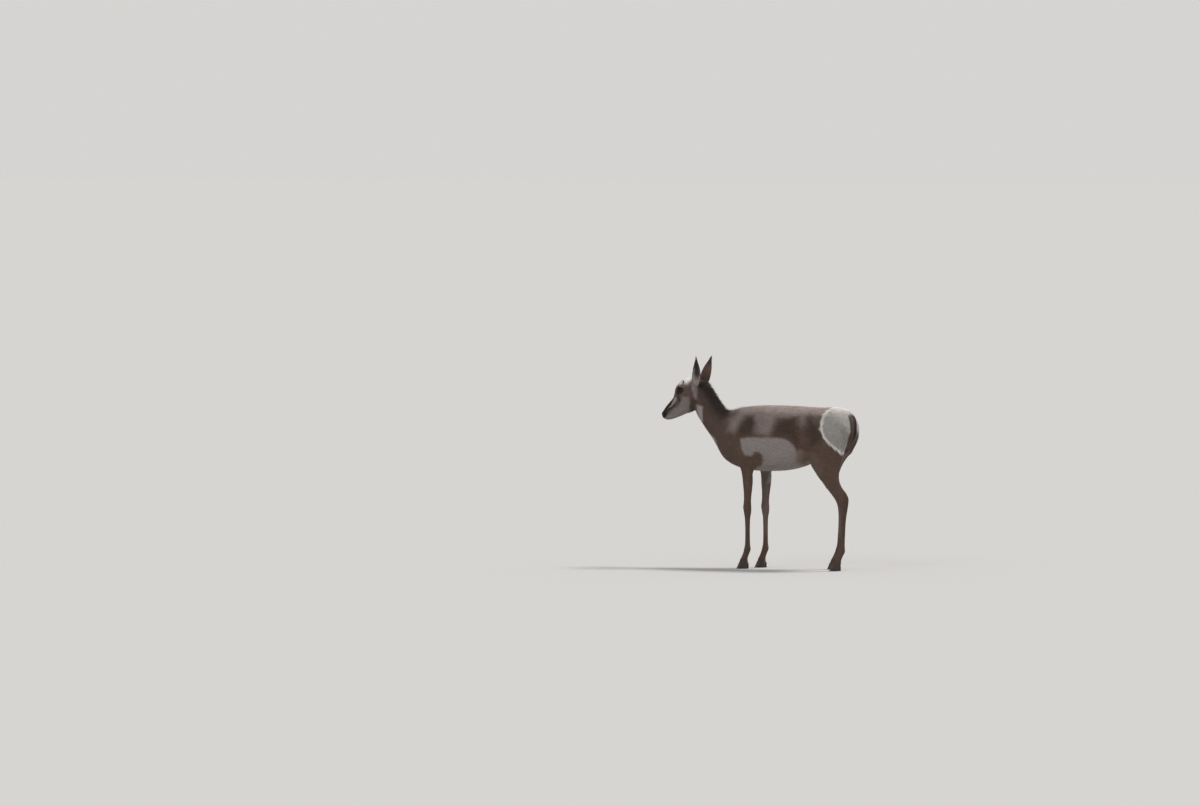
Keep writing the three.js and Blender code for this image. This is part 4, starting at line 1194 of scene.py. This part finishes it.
def wrap_uv(R, name):
    """Place of each root on an unwrap of the skin: along the part, and round it."""
    x, y, z = R.T
    if "leg" in name:
        cx = (LEG_X_FRONT if "front" in name else LEG_X_HIND) * (1 if "left" in name else -1)
        cy = np.interp(z, [40, 300, 420, 480, 560], [-168, -150, -148, -148, -150])
        if "front_right" in name:
            cy = cy + FORE_STEP
        if "hind" in name:
            cy = np.interp(z, [40, 100, 300, 370, 430, 500, 600], [366, 388, 402, 396, 360, 318, 310])
            if "right" in name:
                cy = cy - HIND_STEP * np.interp(z, [500, 600], [1, 0.3])
        u, ang = (z - 20) / 600, np.arctan2(x - cx, y - cy)
    elif "head" in name:
        axis = (y + 560) * 0.55 + (z - 865) * 0.83
        off = -(y + 560) * 0.83 + (z - 865) * 0.55
        u, ang = (axis + 190) / 380, np.arctan2(np.abs(x), off + 10) * 2 - math.pi
    elif "neck" in name:
        axis = (y + 380) * 0.62 - (z - 790) * 0.78
        off = (y + 380) * 0.78 + (z - 790) * 0.62
        u, ang = (axis + 230) / 460, np.arctan2(np.abs(x), off) * 2 - math.pi
    elif "tail" in name:
        u, ang = (z - 650) / 190, np.arctan2(x, y - 428)
    else:
        u = (y + 345) / 790 if "side" in name else y
        u = (y + 345) / 380 if "front" in name else (y - 10) / 430
        ang = np.arctan2(np.abs(x), z - 690) * 2 - math.pi
    v = (ang + math.pi) / (2 * math.pi)
    return np.clip(np.stack([u, v], 1), 0.003, 0.997)




def lashes(side):
    """Dark curved hairs along the upper lid, as long as the lid is thick."""
    Ce, A, B, O = eye_frame(side)
    n = 34
    a = np.linspace(math.radians(18), math.radians(158), n) + rng.normal(0, 0.02, n)
    r = np.empty(n)
    for i, t in enumerate(a):
        lo, hi = 0.0, 40.0
        for _ in range(24):
            m = (lo + hi) / 2
            lo, hi = (m, hi) if slit(np.array(m * math.cos(t)), np.array(m * math.sin(t))) < 1 else (lo, m)
        r[i] = lo + 0.5
    h, v = r * np.cos(a), r * np.sin(a)
    d = np.sqrt(np.maximum(EYE_RADIUS**2 - r * r, 0)) + 1.6
    root = Ce + h[:, None] * A + v[:, None] * B + d[:, None] * O
    fan = unit(0.95 * O + 0.16 * B + (h * 0.030)[:, None] * A + np.array([0, 0.10, 0]))
    long = (5.6 + 2.4 * smooth(-12, 10, h) + rng.normal(0, 0.5, n))[:, None]
    S = unit(np.cross(fan, B))
    middle = root + fan * long * 0.5 - B * 0.5
    tip = root + fan * long + B * 1.2
    up = unit(np.cross(S, fan))
    V = np.stack([root - S * 0.42, root + S * 0.42, root + up * 0.5, middle - S * 0.3,
                  middle + S * 0.3, middle + up * 0.4, tip], 1)
    soft = np.stack([unit(up - S), unit(up + S), up, unit(up - S), unit(up + S), up, fan], 1)
    dark = np.tile(BLACK, (n, 1))
    return V, soft, dark, root


coat = []
lash = [lashes(s) for s in (1, -1)]
V = np.concatenate([V] + [l[0] for l in lash])
soft = np.concatenate([soft] + [l[1] for l in lash])
root_c = np.concatenate([root_c] + [l[2] for l in lash])
tip_c = np.concatenate([tip_c] + [l[2] for l in lash])
R = np.concatenate([R] + [l[3] for l in lash])
for k in zones:
    side = {"coat_head_left": 1, "coat_head_right": -1}.get(k, 0)
    zones[k] = np.concatenate([zones[k], R[len(zones[k]):, 0] * side > 0])
for name, sel in zones.items():
    if sel.sum() == 0:
        continue
    coat.append(
        coat_piece(name, V[sel], soft[sel], (root_c[sel], tip_c[sel]), wrap_uv(R[sel], name))
    )

# Ears: short flat hair outside, longer pale hair that fringes the hollow.
for s, sname in ((1, "left"), (-1, "right")):
    Ve, fe, tt, rr, inn = ears[s]
    root, tip, axis, opens, across = ear_frame(s)
    Te = np.array([t for q in fe for t in ([q] if len(q) == 3 else [[q[0], q[1], q[2]], [q[0], q[2], q[3]]])])
    te = tt[Te].mean(1)
    dens = np.where(te > 0.02, 1.0, 0.0) * np.where(inn[Te].mean(1) > 0.5, 0.75, 1.0)
    pick, w = scatter(Ve, Te, dens, int(TUFTS * 0.0275))
    R2 = (Ve[Te[pick]] * w[..., None]).sum(1)
    Ne = normals(Ve, Te)
    N2 = unit((Ne[Te[pick]] * w[..., None]).sum(1))
    t2, r2, i2 = [(a[Te[pick]] * w).sum(1) for a in (tt, rr, inn)]
    hollow = i2 > 0.5
    D2 = np.tile(axis, (len(R2), 1)) + np.where(
        hollow[:, None], -across * (r2 * 0.25)[:, None], across * (r2 * 0.12)[:, None]
    )
    D2 = D2 + rng.normal(0, 0.1, D2.shape)
    D2 = unit(D2 - N2 * (D2 * N2).sum(1, keepdims=True))
    L2 = np.where(hollow, 13 + 9 * smooth(0.3, 0.9, np.abs(r2)), 8.5) * (0.72 + 0.28 * smooth(1.0, 0.75, t2))
    W2 = np.where(hollow, 1.5, 1.7) * np.exp(rng.normal(0, 0.15, len(R2)))
    H2 = np.where(hollow, 1.3 + 1.5 * smooth(0.5, 0.95, np.abs(r2)), 0.7) * (0.5 + rng.random(len(R2)) * 0.6)
    H2 = H2 * smooth(1.05, 0.8, t2)
    V2, s2 = tuft_arrays(ear_trees[s], R2, N2, D2, L2, W2, H2)
    c2 = tint(paint_ear(t2, r2, hollow.astype(float), R2), 0.14)
    ang = np.where(hollow, 0.5 + (r2 + 1) * 0.24, (r2 + 1) * 0.24)
    uv2 = np.clip(np.stack([t2, ang], 1), 0.003, 0.997)
    coat.append(coat_piece("coat_ear_" + sname, V2, s2, c2, uv2))


# ------------------------------------------------------------------ eyes, horns and hooves
def ball(name, C, radius, out, slit_dir):
    """An eyeball with a brown iris and a wide flat pupil, by vertex colours."""
    seg, rings = 64, 48
    th = np.linspace(0, math.pi, rings + 1)[1:-1, None]
    ph = np.linspace(0, 2 * math.pi, seg, endpoint=False)[None, :]
    q = np.stack([np.sin(th) * np.cos(ph), np.sin(th) * np.sin(ph), np.cos(th) + 0 * ph], -1).reshape(-1, 3)
    q = np.vstack([q, [[0, 0, 1], [0, 0, -1]]])
    up = np.cross(out, slit_dir)
    Vb = C + radius * (q[:, :1] * slit_dir + q[:, 1:2] * up + q[:, 2:] * out)
    f = grid_faces(rings - 1, seg).tolist()
    k, last = (rings - 1) * seg, (rings - 2) * seg
    for j in range(seg):
        f.append([k, (j + 1) % seg, j])
        f.append([k + 1, last + j, last + (j + 1) % seg])
    test = np.cross(Vb[f[0][1]] - Vb[f[0][0]], Vb[f[0][2]] - Vb[f[0][0]])
    if test @ (Vb[f[0][0]] - C) < 0:
        f = [g[::-1] for g in f]
    ob = new_mesh(name, TO_ROW(Vb), f)
    a, b = q[:, 0] * radius, q[:, 1] * radius
    iris = smooth(14.5, 13.2, np.hypot(a, b)) * (q[:, 2] > 0)
    pupil = smooth(1.15, 0.95, (np.abs(a) / 9.5) ** 2.6 + (np.abs(b) / 5.2) ** 2.6) * (q[:, 2] > 0)
    col = np.tile([0.014, 0.010, 0.008], (len(q), 1))
    fibres = 0.85 + 0.25 * np.sin(np.arctan2(b, a) * 41)
    col = col + (np.array([0.020, 0.010, 0.006]) * fibres[:, None] - col) * iris[:, None]
    col = col + (np.array([0.0025, 0.0025, 0.003]) - col) * pupil[:, None]
    colour_attribute(ob.data, np.clip(col, 0.002, 1))
    ob.data.polygons.foreach_set("use_smooth", [True] * len(ob.data.polygons))
    return ob


eyes = {}
for s, sname in ((1, "left"), (-1, "right")):
    Ce, A, B, O = eye_frame(s)
    eyes[sname] = ball("eyeball_" + sname, Ce, EYE_RADIUS - 0.15, O, A)


def horn_bud(side):
    a = np.array([side * 33.0, -540, 934])
    b = np.array([side * 37.0, -536, 938 + 24])
    axis = unit(b - a)
    u = unit(np.cross(axis, [0, 1, 0]))
    v = np.cross(axis, u)
    rings, seg = 26, 28
    t = np.linspace(0, 1, rings)
    ln = np.linalg.norm(b - a)
    r = 6.6 * (1 - t) ** 0.42 * (1 - 0.28 * t) + 0.25
    r = r * (1 + 0.025 * np.sin(t * 38))
    ang = np.linspace(0, 2 * math.pi, seg, endpoint=False)
    Vh = (
        a
        + axis * (t * (ln + 2))[:, None, None]
        + r[:, None, None] * (np.cos(ang)[None, :, None] * u + np.sin(ang)[None, :, None] * v)
    ).reshape(-1, 3)
    f = grid_faces(rings, seg).tolist()
    k, last = len(Vh), (rings - 1) * seg
    Vh = np.vstack([Vh, a, b + axis * 2.2])
    for j in range(seg):
        f.append([k, (j + 1) % seg, j])
        f.append([k + 1, last + j, last + (j + 1) % seg])
    return Vh, f


horns = {}
for s, sname in ((1, "left"), (-1, "right")):
    Vh, f = horn_bud(s)
    ob = new_mesh("horn_bud_" + sname, TO_ROW(Vh), fix_outward(Vh, f))
    ob.data.polygons.foreach_set("use_smooth", [True] * len(ob.data.polygons))
    horns[sname] = ob


def toe(x, tip, length, outer):
    """One toe: pointed wedge, rounded wall, flat sole with a small bevel."""
    rings, seg = 20, 44
    up = np.concatenate([[0.0, 0.0, 0.012, 0.03], np.linspace(0.07, 0.86, rings - 8), [0.92, 0.965, 0.99, 1.0]])
    ins = np.concatenate([[0.90, 0.955, 0.985, 1.0], np.ones(rings - 8), [0.985, 0.94, 0.86, 0.70]])[:, None]
    a = np.linspace(0, 2 * math.pi, seg, endpoint=False)[None, :]
    c, s = np.cos(a) * ins, np.sin(a) * ins
    U = up[:, None]
    taper = 1 - 0.52 * np.maximum(0, -s) ** 1.6
    ln = length * (1 - 0.3 * U)
    middle = tip + length * 0.5 + length * 0.15 * U
    flare = 1 - 0.1 * U
    bow = np.where(outer * c > 0, 1.0, 0.87)
    h = HOOF_HEIGHT * (1 - 0.3 * np.maximum(0, s) * U) * U
    h = np.minimum(h, 36.6 - 0.20 * (middle + s * ln / 2 - tip - length * 0.2))
    grooves = 1 - 0.012 * (0.5 + 0.5 * np.sin(U * 44)) * (U > 0.05)
    Vt = np.stack(
        [x + c * 10.5 * taper * flare * bow * grooves, middle + s * ln / 2 * grooves, h + 0 * c], -1
    ).reshape(-1, 3)
    f = grid_faces(rings, seg).tolist()
    k, last = len(Vt), (rings - 1) * seg
    Vt = np.vstack([Vt, Vt[:seg].mean(0), Vt[last:].mean(0)])
    for j in range(seg):
        f.append([k, (j + 1) % seg, j])
        f.append([k + 1, last + j, last + (j + 1) % seg])
    return Vt, fix_outward(Vt, f)


FEET = {
    "front_left": (1, LEG_X_FRONT, -209, 60),
    "front_right": (-1, LEG_X_FRONT, -209 + FORE_STEP, 60),
    "hind_left": (1, LEG_X_HIND, 324, 56),
    "hind_right": (-1, LEG_X_HIND, 324 - HIND_STEP, 56),
}
hooves = {}
for foot, (side, xf, tip, length) in FEET.items():
    for which, d in (("outer", 1), ("inner", -1)):
        Vt, f = toe(side * (xf + d * (1.6 + 9)), tip, length, side * d)
        ob = new_mesh(f"toe_{foot}_{which}", TO_ROW(Vt), f)
        ob.data.polygons.foreach_set("use_smooth", [True] * len(ob.data.polygons))
        hooves[f"{foot}_{which}"] = ob


# ------------------------------------------------------------------ materials
def material(name, rough, colour=None, attribute=None, bump=(), spec=0.5, coat_w=0.0, sheen=0.0,
             vary=None):
    m = bpy.data.materials.new(name)
    m.use_nodes = True
    nt = m.node_tree
    b = nt.nodes["Principled BSDF"]
    b.inputs["Roughness"].default_value = rough
    b.inputs["Specular IOR Level"].default_value = spec
    b.inputs["Coat Weight"].default_value = coat_w
    b.inputs["Coat Roughness"].default_value = 0.04
    b.inputs["Sheen Weight"].default_value = sheen
    if colour is not None:
        b.inputs["Base Color"].default_value = (*colour, 1)
    source = None
    if attribute:
        att = nt.nodes.new("ShaderNodeAttribute")
        att.attribute_name = attribute
        source = att.outputs["Color"]
    tc = nt.nodes.new("ShaderNodeTexCoord")
    if vary:
        scale, lo, hi = vary
        nz = nt.nodes.new("ShaderNodeTexNoise")
        nz.inputs["Scale"].default_value = scale
        nz.inputs["Detail"].default_value = 3
        nt.links.new(tc.outputs["Object"], nz.inputs["Vector"])
        if source is None:
            ramp = nt.nodes.new("ShaderNodeValToRGB")
            for stop, at, share in zip(ramp.color_ramp.elements, (0.3, 0.7), (lo, hi)):
                stop.position = at
                stop.color = (*[c * share for c in colour], 1)
            nt.links.new(nz.outputs["Fac"], ramp.inputs["Fac"])
            source = ramp.outputs["Color"]
        else:
            mr = nt.nodes.new("ShaderNodeMapRange")
            mr.inputs["From Min"].default_value, mr.inputs["From Max"].default_value = 0.3, 0.7
            mr.inputs["To Min"].default_value, mr.inputs["To Max"].default_value = lo, hi
            nt.links.new(nz.outputs["Fac"], mr.inputs["Value"])
            mx = nt.nodes.new("ShaderNodeMix")
            mx.data_type, mx.blend_type = "RGBA", "MULTIPLY"
            mx.inputs[0].default_value = 1.0
            nt.links.new(source, mx.inputs[6])
            nt.links.new(mr.outputs["Result"], mx.inputs[7])
            source = mx.outputs[2]
    if source is not None:
        nt.links.new(source, b.inputs["Base Color"])
    last = None
    for kind, scale, strength, dist in bump:
        if kind == "noise":
            t = nt.nodes.new("ShaderNodeTexNoise")
            t.inputs["Detail"].default_value = 3
            out = t.outputs["Fac"]
        else:
            t = nt.nodes.new("ShaderNodeTexVoronoi")
            out = t.outputs["Distance"]
        t.inputs["Scale"].default_value = 1.0
        mp = nt.nodes.new("ShaderNodeMapping")
        mp.inputs["Scale"].default_value = scale
        nt.links.new(tc.outputs["Object"], mp.inputs["Vector"])
        nt.links.new(mp.outputs["Vector"], t.inputs["Vector"])
        bp = nt.nodes.new("ShaderNodeBump")
        bp.inputs["Strength"].default_value = strength
        bp.inputs["Distance"].default_value = dist
        nt.links.new(out, bp.inputs["Height"])
        if last is not None:
            nt.links.new(last, bp.inputs["Normal"])
        last = bp.outputs["Normal"]
    if last is not None:
        nt.links.new(last, b.inputs["Normal"])
    return m


coat_mat = material("coat_hair", 0.78, attribute="coat_colour", spec=0.22, sheen=0.08)
skin_mat = material(
    "coat_skin", 0.72, attribute="coat_colour", spec=0.3,
    bump=[("noise", (900, 420, 420), 0.35, 0.0006), ("noise", (260, 140, 140), 0.25, 0.0008)],
    vary=(420, 0.82, 1.12),
)
eye_mat = material("eye_wet", 0.04, attribute="coat_colour", spec=0.16)
horn_mat = material(
    "horn_dark", 0.42, colour=(0.022, 0.018, 0.016), spec=0.4,
    bump=[("noise", (500, 500, 90), 0.4, 0.0006)], vary=(160, 0.7, 1.35),
)
hoof_mat = material(
    "hoof_dark", 0.40, colour=(0.034, 0.028, 0.024), spec=0.45,
    bump=[("noise", (160, 160, 700), 0.35, 0.0006)], vary=(90, 0.7, 1.35),
)


def dress(ob, mat):
    ob.data.materials.clear()
    ob.data.materials.append(mat)


dress(skin, skin_mat)
for c in coat:
    dress(c, coat_mat)
for o in eyes.values():
    dress(o, eye_mat)
for o in horns.values():
    dress(o, horn_mat)
for o in hooves.values():
    dress(o, hoof_mat)

FLESH = ["head", "neck", "trunk", "tail", "ear_left", "ear_right", "leg_front_left",
         "leg_front_right", "leg_hind_left", "leg_hind_right"]
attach(skin, "root")
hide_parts(*FLESH)
for c in coat:
    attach(c, "root")
for k, o in eyes.items():
    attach(o, "root")
    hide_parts("eye_" + k)
for k, o in horns.items():
    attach(o, "root")
    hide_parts("horn_" + k)
for k, o in hooves.items():
    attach(o, "root")
    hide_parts("hoof_" + k)

# ------------------------------------------------------------------ floor, light and camera
floor = new_mesh(
    "floor",
    np.array([[-150, -150, 0], [150, -150, 0], [150, 150, 0], [-150, 150, 0]], float),
    [[0, 1, 2, 3]],
)
floor_mat = material("floor_pale", 0.95, colour=(0.425, 0.425, 0.428), spec=0.0)
dress(floor, floor_mat)

world = bpy.data.worlds.new("studio")
bpy.context.scene.world = world
world.use_nodes = True
world.node_tree.nodes["Background"].inputs[0].default_value = (1.0, 0.985, 0.965, 1)
world.node_tree.nodes["Background"].inputs[1].default_value = 0.67


def sun(name, azimuth, elevation, strength, spread, colour=(1, 1, 1)):
    data = bpy.data.lights.new(name, "SUN")
    data.energy, data.angle, data.color = strength, math.radians(spread), colour
    ob = bpy.data.objects.new(name, data)
    a, e = math.radians(azimuth), math.radians(elevation)
    to = Vector((math.sin(a) * math.cos(e), -math.cos(a) * math.cos(e), math.sin(e)))
    ob.rotation_mode = "QUATERNION"
    ob.rotation_quaternion = to.to_track_quat("Z", "Y")
    bpy.context.scene.collection.objects.link(ob)


sun("key", 226, 61, 3.1, 16, (1.0, 0.965, 0.92))
sun("fill", 80, 38, 0.35, 22, (0.97, 0.98, 1.0))

# The camera stands as far off as the photographer did, 27 degrees behind the left side and a
# little above, with the long lens that gives 194 pixels to the metre of a 1200-pixel frame.
YAW, PIXELS_PER_M, FRAME_W, FRAME_H = math.radians(27), 194.4, 1200.0, 805.0
FOCAL_PX = 9466.0
distance = FOCAL_PX / PIXELS_PER_M
back = Vector((math.cos(YAW), math.sin(YAW), 0))
right = Vector((-math.sin(YAW), math.cos(YAW), 0))
feet_px, horizon_px = (780.0, 569.0), 70.0
cam_data = bpy.data.cameras.new("camera")
cam_data.sensor_width = 36.0
cam_data.lens = 36.0 * FOCAL_PX / FRAME_W
cam = bpy.data.objects.new("camera", cam_data)
bpy.context.scene.collection.objects.link(cam)
pitch = math.atan((FRAME_H / 2 - horizon_px) / FOCAL_PX)
height = (feet_px[1] - horizon_px) / PIXELS_PER_M
cam.location = (
    Vector((0, SHIFT_Y * 0.001, height))
    + back * distance
    - right * ((feet_px[0] - FRAME_W / 2) / PIXELS_PER_M)
)
look = (-back * math.cos(pitch) + Vector((0, 0, -math.sin(pitch)))).normalized()
cam.rotation_mode = "QUATERNION"
cam.rotation_quaternion = look.to_track_quat("-Z", "Y")
cam_data.clip_start, cam_data.clip_end = 0.5, 500
bpy.context.scene.camera = cam
bpy.context.scene.view_settings.view_transform = "Standard"
bpy.context.scene.view_settings.look = "None"

print("skin tris", len(skin.data.loop_triangles), {c.name: len(c.data.polygons) for c in coat})
